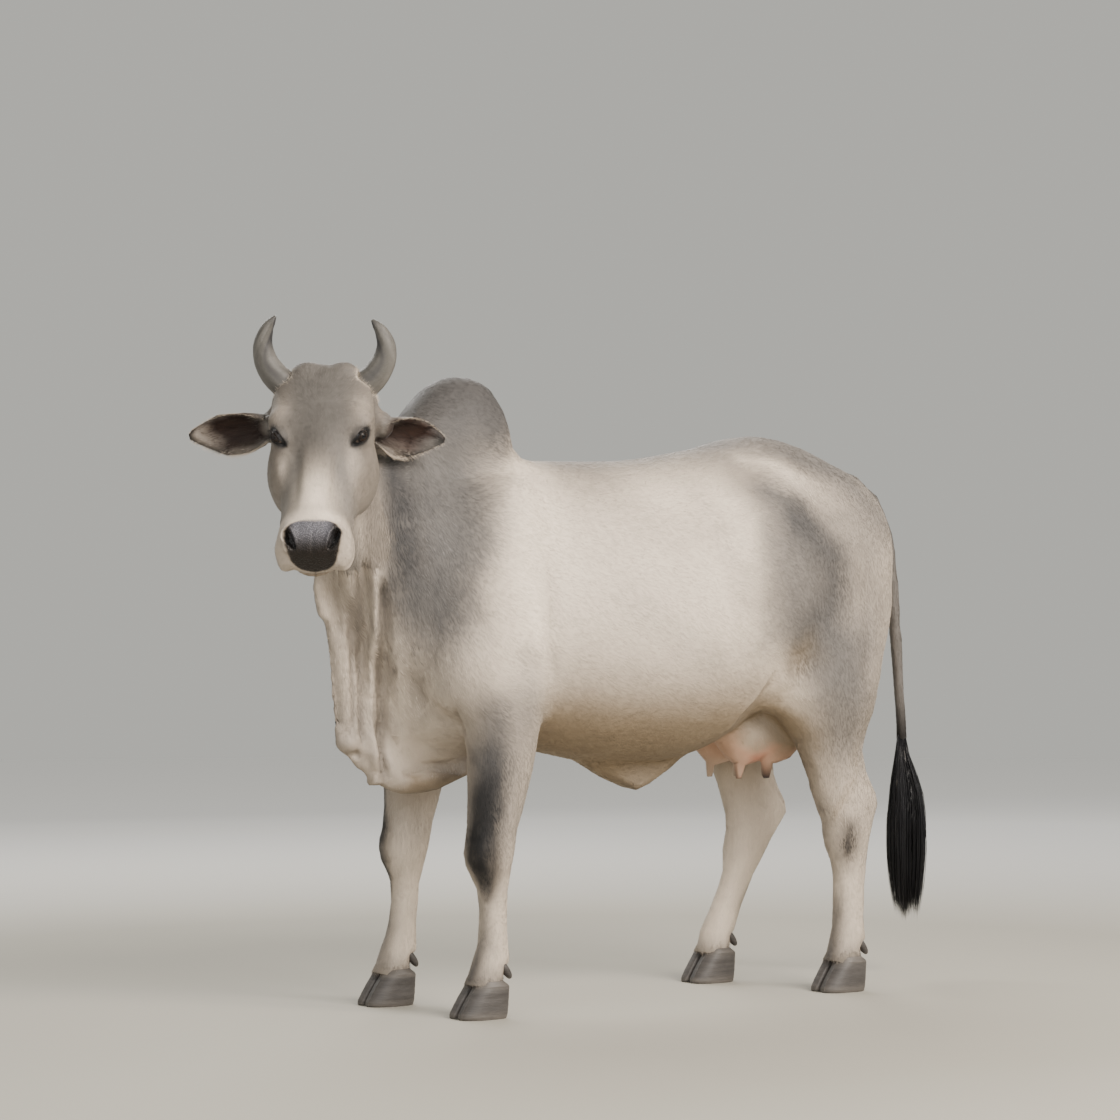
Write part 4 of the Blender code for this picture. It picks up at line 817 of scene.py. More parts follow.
def hide_colour(points, normals, hide):
    """The colour of the hide at each place: the same for the skin and for the coat over it."""
    pale, cream, grey, smoke = (tone(hide, n) for n in ("pale", "cream", "grey", "smoke"))
    black, brown, pink, bronze = (tone(hide, n) for n in ("black", "brow", "flesh", "bronze"))
    tones = {"pale": pale, "cream": cream, "grey": grey, "smoke": smoke, "black": black, "bronze": bronze}
    colour = np.tile(pale, (len(points), 1))
    x, y, z = points.T
    a, s, u = head_place(points)
    wander = noises(points, 0.05, 1) * 0.012
    moved = points + wander

    def blend(amount, tint):
        nonlocal colour
        amount = np.clip(amount, 0, 1)[:, None]
        colour = colour * (1 - amount) + np.asarray(tint) * amount

    on_head = (
        (a > -0.03) & (a < 0.52) & (np.abs(s) < 0.16) & (u > -0.34 + 0.28 * step(a, 0.3, 0.0)) & (x < -0.5)
    )
    body = 1 - on_head.astype(float)
    for name, strength, soft, half, path in BODY_MARKS:
        amount = np.zeros(len(points))
        for line in (np.array(path), other_side(path)):
            d, _ = near(moved * FLAT, line * FLAT)
            amount = np.maximum(amount, strength * np.exp(-((d / half) ** soft)))
        blend(amount * body, tones[name])
    # hair streaks of the neck
    streak = noise(points @ np.array([[1, 0, 0.35], [0, 1, 0], [0, 0, 1]]), (0.01, 0.01, 0.12), 7)
    neck = step(x, -0.4, -0.52) * step(z, 0.55, 0.8) * body
    blend(neck * step(x, -0.66, -0.6) * np.clip(streak - 0.1, 0, 1) * 0.65, smoke)
    # the belly, brisket and insides of the legs are browner, and the downward-facing belly carries painted
    # shade and painted warm light bounced from below
    under = step(-normals[:, 2], 0.0, 0.8) * step(z, 0.9, 0.66) * step(z, 0.42, 0.5)
    blend(0.85 * under * step(x, -0.34, -0.24) * body, bronze)
    blend(0.2 * under * step(x, -0.24, -0.34) * body, bronze * 1.4)
    # painted shade in the hollow of the pocket under the dewlap's fold, over the browner hair
    flap = (
        step(z, 0.543, 0.533) * step(z, 0.44, 0.46) * step(x, -0.5, -0.475) * step(x, -0.3, -0.32)
        * step(np.abs(y - MID), 0.08, 0.07)
    )
    blend(0.85 * flap * body, bronze)
    blend(
        0.4 * step(z, 0.7, 0.58) * step(z, 0.5, 0.56) * step(np.abs(y - MID), 0.2, 0.08) * step(x, -0.3, -0.2)
        * body,
        bronze
    )
    # udder and teats
    udder = (
        step(x, 0.29, 0.36) * step(x, 0.62, 0.56) * step(z, 0.66, 0.62) * step(np.abs(y - MID), 0.105, 0.085)
    )
    blend(udder * 0.9, pink)
    blend(udder * dome(points, (0.44, -0.03, 0.56), (0.03, 0.04, 0.03), 0.8), pink * vec(0.9, 0.5, 0.45))
    teats = step(z, 0.56, 0.548) * step(z, 0.5, 0.505)
    blend(udder * teats * 0.45, pale * vec(0.85, 0.68, 0.58))
    dark_end = np.where(x < 0.44, 0.5, 1.0) * np.where(y < MID, 1.0, 0.6)
    blend(udder * step(z, 0.522, 0.512) * dark_end, vec(0.035, 0.027, 0.026))
    # paler cannons, greyer forearms and dark fronts of the legs
    blend(step(z, 0.34, 0.27) * 0.36, cream)
    blend(step(z, 0.6, 0.48) * step(y, 0.03, 0.07) * 0.4, cream)
    blend(step(z, 0.34, 0.42) * step(z, 0.74, 0.64) * step(x, -0.24, -0.29) * 0.32, grey)
    for name, strength, soft, half, shift, line in LEG_MARKS:
        amount = np.zeros(len(points))
        for side_line in (np.array(line), other_side(line, shift)):
            d, _ = near(moved, side_line)
            amount = np.maximum(amount, strength * np.exp(-((d / half) ** soft)))
        blend(amount * (z < 0.75), tones[name])
    ragged = 1 + 0.35 * noise(points, 0.008, 11)
    spot = dome(moved, (0.622, -0.168, 0.362), (0.025, 0.06, 0.06), 1.6) * ragged
    blend(np.clip(spot - 0.25, 0, 0.92) * (z < 0.5), black * 1.3)
    blend(dome(points, (0.67, -0.172, 0.439), (0.008, 0.03, 0.01), 0.8), black)
    speck = noise(points, 0.0035, 12)
    shin = step(z, 0.31, 0.25) * step(z, 0.06, 0.12)
    blend(shin * np.clip(speck - 0.25, 0, 1) * 0.5, grey)
    blend(step(z, 0.14, 0.08) * 0.5, smoke)
    # tail
    tail = step(x, 0.845, 0.865) * step(z, 1.12, 1.0)
    on_tail = np.exp(-((near(points, TAIL_LINE)[0] / 0.042) ** 6)) * (x > 0.7)
    blend(np.maximum(tail, on_tail) * 0.92, grey * 0.85)
    blend(tail * step(z, 0.72, 0.61) * 0.9, black)
    # painted shade in the crease between the tail and the rump
    for line in (TAIL_CREASE, other_side(TAIL_CREASE)):
        blend(np.exp(-((near(points, line)[0] / 0.01) ** 2)) * 0.65, smoke)
    # navel
    for place in ((0.104, 0.034, 0.497), (0.125, 0.03, 0.495)):
        blend(dome(points, place, (0.006, 0.012, 0.006), 0.9), black)

    # The head
    head = on_head.astype(float)
    brow_side = np.abs(s)
    blend(head, pale * 0.45)

    def spot(tint, strength, along, reach, aside, half, soft=2, soft_aside=2):
        shape = ((a - along) / reach) ** soft + ((brow_side - aside) / half) ** soft_aside
        blend(head * np.exp(-shape) * strength, tint)

    spot(brown * 0.9, 0.95, 0.085, 0.135, 0, 0.088, 4, 4)
    spot(brown * 0.66, 0.88, 0.21, 0.085, 0, 0.058)
    spot(pale * 0.9, 0.6, 0.125, 0.03, 0.088, 0.02)
    # pale cheeks below the eyes, with a painted highlight on each cheek's bulge
    spot(pale * 1.05, 0.75, 0.25, 0.036, 0.072, 0.015)
    # painted shade in the grooves beside the nose bridge
    spot(brown * 1.1, 0.85, 0.275, 0.055, 0.048, 0.018)
    spot(brown * 1.35, 0.75, 0.335, 0.065, 0.064, 0.02)
    spot(cream, 0.95, 0.36, 0.07, 0, 0.04)
    blend(head * step(a, 0.375, 0.41) * 0.9, pale * 1.02)
    spot(cream, 0.8, 0.408, 0.02, 0, 0.06, 2, 4)
    chin = step(-nose_drop(a, u), -0.105, -0.118) * step(a, 0.36, 0.42)
    blend(head * chin * 0.75, bronze * 0.8)
    # painted shade along the crease between the face and the ear, and the pale edge over the horns
    for sign in (1, -1):
        crease = [head_point(p, sign * q, r) for p, q, r in FACE_CREASE]
        blend(np.exp(-((near(points, crease)[0] / 0.011) ** 2)) * 0.88, smoke * 0.6)
        base, way = horn_foot(sign)
        q = points - base
        round_horn = lengths(q - (q @ way)[:, None] * way)
        blend(
            head * np.exp(-(((round_horn - 0.036) / 0.006) ** 2)) * (np.abs(q @ way) < 0.035) * 0.8,
            cream * 1.1
        )
    # lids
    for sign in (1, -1):
        m, along, _, _ = lid_place(points, sign)
        round_eye = head * step(np.abs(along), 0.04, 0.026)
        # dark skin round the eye, widened by painted shade under the brow
        blend(round_eye * np.exp(-((np.minimum(m + 0.009, 0) / 0.01) ** 2)) * (m > -0.04) * 0.65, smoke)
        blend(
            round_eye * np.exp(-((np.minimum(m + 0.005, 0) / 0.0055) ** 2)) * (m > -0.03) * 0.97, black * 0.6
        )
        tear = [eye_point(sign, d, h) for d, h in ((0.02, -0.001), (0.034, -0.004), (0.046, -0.01))]
        d, _ = near(points, np.array(tear))
        blend(head * np.exp(-((d / 0.008) ** 2)) * 0.9, black * 0.8)
    wet = muffle(points)
    down = nose_drop(a, u)
    # the top of the wet nose is paler and bluer: its own grey with a painted reflection of the light
    top = step(down, 0.06, 0.012) * step(np.abs(s), 0.052, 0.034)
    nose = vec(0.019, 0.014, 0.011) + top[:, None] * vec(0.14, 0.14, 0.162)
    amount = np.clip(wet, 0, 1)[:, None]
    colour = colour * (1 - amount) + nose * amount
    # painted shade inside the nostrils
    for sign in (1, -1):
        d, t = nostril_gap(points, sign)
        blend(head * step(d, 0.003, -0.002), black * 0.25)
    # ears
    for sign in (1, -1):
        t, w, f = ear_place(points, sign)
        on_ear = within_ear(t, w, f, 0.06, 1.06)
        on_ear &= lengths(points - POLL) > 0.125
        inside = on_ear & (normals @ ear_axes(sign)[1] > 0.05)
        edge = np.abs(w) / np.maximum(EAR_HALF * np.interp(t, EAR_T, EAR_SHARE), 0.004)
        hairs = noise(np.stack((t * 0.2, w, f * 0.3), axis=1), (0.045, 0.0022, 0.02), 21 + sign)
        blend(on_ear * 0.35, grey)
        blend(on_ear * step(t, 0.34, 0.12) * 0.55, brown * 1.3)
        reach = np.where(w < 0, step(edge, 1.06, 0.92), step(edge, 1.02, 0.72))
        deep = inside * reach * step(t, 0.08, 0.2) * step(t + 0.12 * np.clip(w / 0.03, -1, 1), 0.93, 0.74)
        blend(deep * 0.98, tone(hide, "ear"))
        blend(
            deep * np.clip(hairs - 0.1 + 0.3 * step(t, 0.4, 0.75), 0, 1) * 0.25,
            tone(hide, "ear") * vec(3.2, 2.2, 1.6)
        )
        low = inside * step(w, 0.03 if sign > 0 else 0.034, 0.05) * step(t, 0.15, 0.4)
        blend(low * (0.7 + 0.3 * hairs), pale * 1.3)
        rim = on_ear * step(edge, 0.9, 1.0) * step(w, 0.004, 0.012) * step(t, 0.38, 0.52)
        rim = np.maximum(rim, on_ear * step(t, 0.9, 0.97) * 0.9)
        blend(rim * 0.97, black * 0.5)
        upper = on_ear * step(edge, 0.93, 1.02) * (w < 0) * step(t, 0.35, 0.6)
        blend(upper * 0.6, tone(hide, "ear"))
    # painted shade in the folds' grooves and a painted highlight on their ridges
    fold = folds(points)
    colour *= (1 - 0.42 * step(-fold, 0.0005, 0.014) + 0.1 * step(fold, 0.0, 0.008))[:, None]
    # the coat is never even
    grain = (
        1 + 0.035 * noise(points, 0.09, 31) + 0.035 * noise(points, 0.03, 32) + 0.03 * noise(points, 0.01, 33)
    )
    return np.clip(colour * grain[:, None], 0.003, 0.95)


# The face's own places

LID_HALF, LID_HIGH, LID_LOW = 0.0225, 0.006, 0.005


def eye_axes(sign):
    """The eye's middle, and the ways out of it, along its opening to the inner corner, and up."""
    centre = head_point(EYE_AT[0], sign * EYE_AT[1], EYE_AT[2])
    out = unit(HEAD_LEFT * sign * 0.68 + FACE_UP * 0.52 + FACE_AXIS * 0.5)
    long = FACE_AXIS * 0.42 - HEAD_LEFT * sign * 0.95 - FACE_UP * 0.42
    long = unit(long - out * (long @ out))
    high = np.cross(out, long)
    if high[2] < 0:
        high = -high
    return centre, out, long, high


def eye_point(sign, along, high_by, radius=EYE_RADIUS + 0.002):
    """A place on the lids."""
    centre, out, long, high = eye_axes(sign)
    return (
        centre
        + unit(long * along + high * high_by + out * math.sqrt(max(radius**2 - along**2 - high_by**2, 1e-5)))
        * radius
    )


def lid_place(points, sign):
    """How far inside the opening between the lids points are, and where they lie round the eye."""
    centre, out, long, high = eye_axes(sign)
    q = points - centre
    along, up_by, ahead = q @ long, q @ high, q @ out
    arch = np.clip(1 - (along / LID_HALF) ** 2, -3, 1)
    above = LID_HIGH * np.where(arch > 0, np.abs(arch) ** 0.85, arch) - up_by
    below = up_by + LID_LOW * np.where(arch > 0, np.abs(arch) ** 0.85, arch)
    inside = np.minimum(above, below)
    inside[ahead < 0] = -1
    return inside, along, up_by, ahead


NOSTRIL = ((0.437, 0.057, -0.048, 0.0045), (0.443, 0.0545, -0.055, 0.0082), (0.451, 0.0505, -0.064, 0.0108),
           (0.459, 0.044, -0.073, 0.0098), (0.465, 0.038, -0.08, 0.0055))
FACE_CREASE = (
    (0.025, 0.092, -0.03), (0.0625, 0.1145, -0.033), (0.093, 0.1173, -0.05), (0.119, 0.1166, -0.079),
    (0.112, 0.115, -0.13), (0.1, 0.112, -0.18)
)


def nostril_gap(points, sign):
    """How far points are outside the edge of a nostril, and how far down it."""
    rows = smooth_rows(NOSTRIL, 4)
    path = np.array([head_point(r[0], sign * r[1], r[2]) for r in rows])
    d, t = near(points, path)
    return d - np.interp(t, np.linspace(0, 1, len(rows)), rows[:, 3]), t


def muffle(points):
    """1 on the bare wet skin of the nose and 0 off it."""
    a, s, u = head_place(points)
    down = nose_drop(a, u)
    half = np.interp(
        down, (-0.006, 0.0, 0.008, 0.022, 0.045, 0.064, 0.081, 0.093, 0.102, 0.107),
        (0.0, 0.026, 0.05, 0.062, 0.059, 0.054, 0.048, 0.04, 0.027, 0.0)
    )
    edge = half + 0.0012 * noise(points, 0.012, 41) - np.abs(s - 0.003)
    return step(edge, -0.003, 0.003) * step(down, -0.004, 0.004) * step(a, 0.405, 0.42)


MOUTH_LINE = ((0.345, -0.128), (0.375, -0.136), (0.41, -0.146), (0.445, -0.156), (0.47, -0.16), (0.5, -0.16))

# The skin

EAR_LENGTH, EAR_HALF, EAR_THICK = 0.2, 0.047, 0.0062
EAR_ROOT = {1: (0.092, -0.012, -0.132), -1: (0.104, -0.012, -0.126)}
EAR_AIM = {1: unit(vec(0.8, -0.56, -0.15)), -1: unit(vec(1.0, -0.06, -0.16))}
EAR_ROWS = (
    # share of the length, share of the half width, half angle of the cup in degrees
    (0.0, 0.56, 142), (0.1, 0.64, 132), (0.2, 0.75, 114), (0.31, 0.89, 94), (0.43, 0.99, 78), (0.55, 1.0, 66),
    (0.67, 0.9, 56), (0.78, 0.72, 48), (0.88, 0.5, 42), (0.96, 0.28, 39), (1.0, 0.1, 38),
)
EAR_T = [row[0] for row in EAR_ROWS]
EAR_SHARE = [row[1] for row in EAR_ROWS]


def ear_axes(sign):
    """The way along an ear, out of its cup and across it, and its root."""
    aim = EAR_AIM[sign]
    axis = unit(HEAD_LEFT * sign * aim[0] + HEADING * aim[1] + UP * aim[2])
    front = HEADING * 0.93 - UP * 0.28 + HEAD_LEFT * sign * 0.15
    front = unit(front - axis * (front @ axis))
    wide = np.cross(axis, front) * sign
    return axis, front, wide, upright_point(*(EAR_ROOT[sign] * np.array((sign, 1, 1))))


def ear_surface(sign, t, share_across, depth=0.0):
    """Places in the sheet of an ear: t along it, from -1 to 1 across it, and depth out of its inner face."""
    axis, front, wide, root = ear_axes(sign)
    t, v = np.broadcast_arrays(np.asarray(t, float), np.asarray(share_across, float))
    rows = smooth_rows(EAR_ROWS, 6)
    share = np.interp(t, rows[:, 0], rows[:, 1])
    curl = np.radians(np.interp(t, rows[:, 0], rows[:, 2]))
    radius = EAR_HALF * share / np.sin(np.minimum(curl, np.pi / 2))
    spine = root + axis * (EAR_LENGTH * t)[..., None] + wide * (0.006 * (np.sin(np.pi * t) - t))[..., None]
    offset = wide * np.sin(curl * v)[..., None] - front * np.cos(curl * v)[..., None]
    return spine + front * (radius * 0.55)[..., None] + offset * (radius - depth)[..., None]


def make_ear(sign):
    """A cupped ear with a rounded rim and faint ribs, as one closed sheet."""
    rows, across = 56, 30
    t = np.linspace(0, 1, rows)[:, None] ** 0.97
    v = np.linspace(-1, 1, across)[None]
    rib = 0.0007 * np.cos(v * 17) * np.sin(np.pi * np.clip(t * 1.2, 0, 1)) * (1 - np.abs(v) ** 4)
    wave = 0.0016 * np.sin(t * 19 + sign) * np.abs(v) ** 6
    half = EAR_THICK * (1.15 - 0.5 * t) * (1 - 0.62 * np.abs(v) ** 6) / 2
    inner = ear_surface(sign, t, v, half + rib + wave)
    outer = ear_surface(sign, t, v, -half + wave)
    points = np.concatenate((inner.reshape(-1, 3), outer.reshape(-1, 3)))
    grid = np.arange(rows * across).reshape(rows, across)
    quads = []
    for side, layer in ((0, grid), (1, grid + rows * across)):
        a, b, c, d = layer[:-1, :-1], layer[1:, :-1], layer[1:, 1:], layer[:-1, 1:]
        quads.append(np.stack((a, b, c, d) if side else (d, c, b, a), axis=-1).reshape(-1, 4))
    n = rows * across
    rim = np.concatenate((grid[:, 0], grid[-1, 1:], grid[-2::-1, -1], grid[0, -2:0:-1]))
    after = np.roll(rim, -1)
    quads.append(np.stack((rim, after, after + n, rim + n), axis=-1))
    quads = np.concatenate(quads)
    obj = mesh_of("ear", points, np.concatenate((quads[:, [0, 1, 2]], quads[:, [0, 2, 3]])))
    on_all(obj, bpy.ops.mesh.normals_make_consistent, inside=False)
    return obj


FLESH = ["torso", "neck", "dewlap", "hump", "udder", "head", "tail"]
FLESH += [
    f"{leg}_{side}_{part}"
    for leg in ("foreleg", "hindleg") for side in ("left", "right") for part in ("upper", "lower")
]
EARS = ["ear_left", "ear_right"]


def body_form(points):
    """The folds, muscles and bones that the plain solids leave out, as a height over the surface."""
    h = folds(points)
    for centre, radii, height, shift in BULGES:
        h += dome(points, centre, radii, height) + dome(points, other_side([centre], shift)[0], radii, height)
    h += ridge(points, ((-0.2, MID, 1.235), (0.1, MID, 1.25), (0.35, MID, 1.31)), 0.02, 0.003)
    h += ridge(points, ((0.33, MID, 0.6), (0.44, MID, 0.555), (0.57, MID, 0.6)), 0.013, -0.007)
    return h


def head_form(points):
    """The bones and soft forms of the face, as a height over the surface."""
    a, s, u = head_place(points)
    near_head = (a > -0.06) & (a < 0.53) & (np.abs(s) < 0.17) & (points[:, 0] < -0.45)
    h = np.zeros(len(points))
    p = points[near_head]
    add = np.zeros(len(p))
    for sign in (1, -1):
        def at(along, side, out):
            return head_point(along, sign * side, out)

        add += dome(p, at(0.14, 0.09, -0.01), (0.028, 0.026, 0.022), 0.009)
        add += ridge(p, [at(*row) for row in FACE_CREASE], 0.009, -0.008)
        add += dome(p, at(0.248, 0.092, -0.07), (0.03, 0.03, 0.03), 0.0045)
        add += ridge(p, (at(0.225, 0.08, -0.05), at(0.3, 0.085, -0.085), at(0.37, 0.075, -0.1)), 0.013, 0.004)
        add += ridge(
            p, (at(0.215, 0.05, -0.024), at(0.29, 0.048, -0.042), at(0.37, 0.044, -0.052)), 0.012, -0.0035
        )
        add += ridge(p, (at(0.24, 0.03, -0.014), at(0.33, 0.029, -0.028), at(0.4, 0.03, -0.038)), 0.01, 0.002)
        add += ridge(
            p, (at(0.06, 0.092, -0.03), at(0.11, 0.104, -0.04), at(0.15, 0.112, -0.05)), 0.012, -0.004
        )
        add += dome(p, at(0.2, 0.1, -0.15), (0.06, 0.04, 0.05), 0.006)
        add += ridge(
            p, (at(0.33, 0.07, -0.115), at(0.38, 0.066, -0.128), at(0.42, 0.07, -0.138)), 0.011, 0.003
        )
        # upper lip lobes and the fold beside the nose
        add += dome(p, at(0.452, 0.072, -0.105), (0.026, 0.02, 0.03), 0.005)
        add += ridge(
            p, (at(0.405, 0.066, -0.055), at(0.42, 0.074, -0.075), at(0.43, 0.078, -0.1)), 0.009, -0.003
        )
        add += ridge(
            p,
            (
                at(0.432, 0.068, -0.05), at(0.452, 0.064, -0.066), at(0.47, 0.054, -0.086),
                at(0.48, 0.04, -0.098)
            ),
            0.006, 0.0035
        )
        add += dome(p, upright_point(sign * 0.044, -0.005, -0.004), (0.02, 0.03, 0.02), 0.0035)
    add += ridge(
        p,
        (head_point(0.44, 0.003, -0.05), head_point(0.478, 0.003, -0.085), head_point(0.486, 0.003, -0.12)),
        0.004, -0.0018
    )
    add += dome(p, upright_point(0.0, 0.0, -0.006), (0.022, 0.04, 0.03), 0.0095)
    line = np.array(MOUTH_LINE)
    flat = np.stack((a[near_head], u[near_head], np.zeros(len(p))), axis=1)
    d, _ = near(flat, np.column_stack((line, np.zeros(len(line)))))
    muzzle = step(a[near_head], 0.335, 0.36) * (u[near_head] < -0.09)
    side = np.sign(u[near_head] - np.interp(a[near_head], line[:, 0], line[:, 1]))
    add += (
        muzzle
        * (
            -0.0065 * np.exp(-((d / 0.0032) ** 2)) + 0.0022 * np.exp(-(((d - 0.009) / 0.006) ** 2))
            * (1 + 0.3 * side)
        )
    )
    h[near_head] = add
    return h


def set_eyes(points):
    """Draws the lids round the eyeballs and opens them to a narrow almond."""
    out = points.copy()
    for sign in (1, -1):
        centre = eye_axes(sign)[0]
        inside, _, up_by, ahead = lid_place(points, sign)
        q = points - centre
        r = lengths(q)
        close = (r < 0.06) & (ahead > -0.004)
        q, rr, m = q[close], r[close], inside[close]
        hug = np.exp(-((np.minimum(m, 0) / 0.013) ** 2)) * step(ahead[close], -0.004, 0.006)
        lid = EYE_RADIUS + 0.002 + 0.0013 * np.exp(-(((m + 0.0022) / 0.002) ** 2))
        upper = (up_by[close] > 0).astype(float)
        for height, edge, width, part in (
            (-0.0016, 0.0075, 0.0014, upper), (0.0024, 0.0115, 0.003, upper),
            (-0.0012, 0.0065, 0.0012, 1 - upper), (-0.0012, 0.0115, 0.0016, 1 - upper),
            (0.001, 0.009, 0.0018, 1 - upper),
        ):
            lid += height * np.exp(-(((m + edge) / width) ** 2)) * part
        new = rr * (1 - hug) + np.maximum(lid, EYE_RADIUS + 0.0012) * hug
        opened = step(m, -0.0007, 0.0009)
        new = new * (1 - opened) + (EYE_RADIUS - 0.005) * opened
        out[close] = centre + q / rr[:, None] * new[:, None]
        tear = np.array(
            [
                eye_point(sign, d, h, EYE_RADIUS + 0.004)
                for d, h in ((0.021, -0.002), (0.032, -0.005), (0.043, -0.01))
            ]
        )
        d, t = near(out, tear)
        out -= eye_axes(sign)[1] * (0.003 * np.exp(-((d / 0.0035) ** 2)) * step(1 - t, 0, 0.5))[:, None]
    return out


def set_nostrils(points, normals):
    """Sinks the comma-shaped nostrils and raises their rims."""
    out = points.copy()
    for sign in (1, -1):
        d, t = nostril_gap(points, sign)
        inward = -unit(FACE_AXIS * 0.72 + HEAD_LEFT * sign * 0.3 + FACE_UP * 0.62)
        facing = normals @ -inward
        close = (d < 0.02) & (facing > -0.6)
        depth = 0.02 * step(-d, -0.0012, 0.0055) * np.sin(np.pi * np.clip(0.12 + 0.8 * t, 0, 1))
        rim = 0.0026 * np.exp(-(((d - 0.0035) / 0.003) ** 2))
        out[close] += inward * depth[close, None] + normals[close] * rim[close, None]
    return out


def select_near(obj, tests):
    """Selects the faces whose middles are within a distance of any place."""
    mesh = obj.data
    centres = np.empty(len(mesh.polygons) * 3, np.float32)
    mesh.polygons.foreach_get("center", centres)
    centres = centres.reshape(-1, 3)
    chosen = np.zeros(len(centres), bool)
    for place, reach in tests:
        chosen |= lengths(centres - place) < reach
    mesh.polygons.foreach_set("select", chosen)
    for part in (mesh.vertices, mesh.edges):
        part.foreach_set("select", np.zeros(len(part), bool))
    mesh.update()
    return chosen.any()


def refine(obj, tests):
    """Subdivides the faces near some places once."""
    pick(obj)
    bpy.ops.object.mode_set(mode="EDIT")
    bpy.ops.mesh.select_mode(type="FACE")
    bpy.ops.mesh.select_all(action="DESELECT")
    bpy.ops.object.mode_set(mode="OBJECT")
    select_near(obj, tests)
    bpy.ops.object.mode_set(mode="EDIT")
    bpy.ops.mesh.subdivide(number_cuts=1, smoothness=0)
    bpy.ops.mesh.select_all(action="SELECT")
    bpy.ops.mesh.quads_convert_to_tris()
    bpy.ops.object.mode_set(mode="OBJECT")


def make_teat(place, lean):
    """A blunt finger that hangs a little outwards, with a rounded end and a faint ring above it."""
    rows = smooth_rows(
        (
            (0.026, 0.019), (0.006, 0.014), (-0.012, 0.0118), (-0.032, 0.0112), (-0.048, 0.0106),
            (-0.056, 0.009), (-0.061, 0.0058)
        ),
        3
    )
    turn = np.linspace(0, 2 * np.pi, 20, endpoint=False)
    rings = []
    for h, r in rows:
        centre = place + vec(-0.04 * (0.03 - h), lean * (0.03 - h), h)
        wrinkle = r * (1 + 0.02 * math.sin(h * 900)) * (1 + 0.015 * np.sin(turn * 5 + h * 60))
        rings.append(
            np.stack(
                (
                    centre[0] + np.cos(turn) * wrinkle, centre[1] + np.sin(turn) * wrinkle,
                    np.full(20, centre[2])
                ),
                axis=1
            )
        )
    return loft("teat", rings)


# the most triangles that the skin and one piece of the coat may have
SKIN_LIMIT, QUICK_LIMIT, PIECE_LIMIT = 188000, 60000, 190000


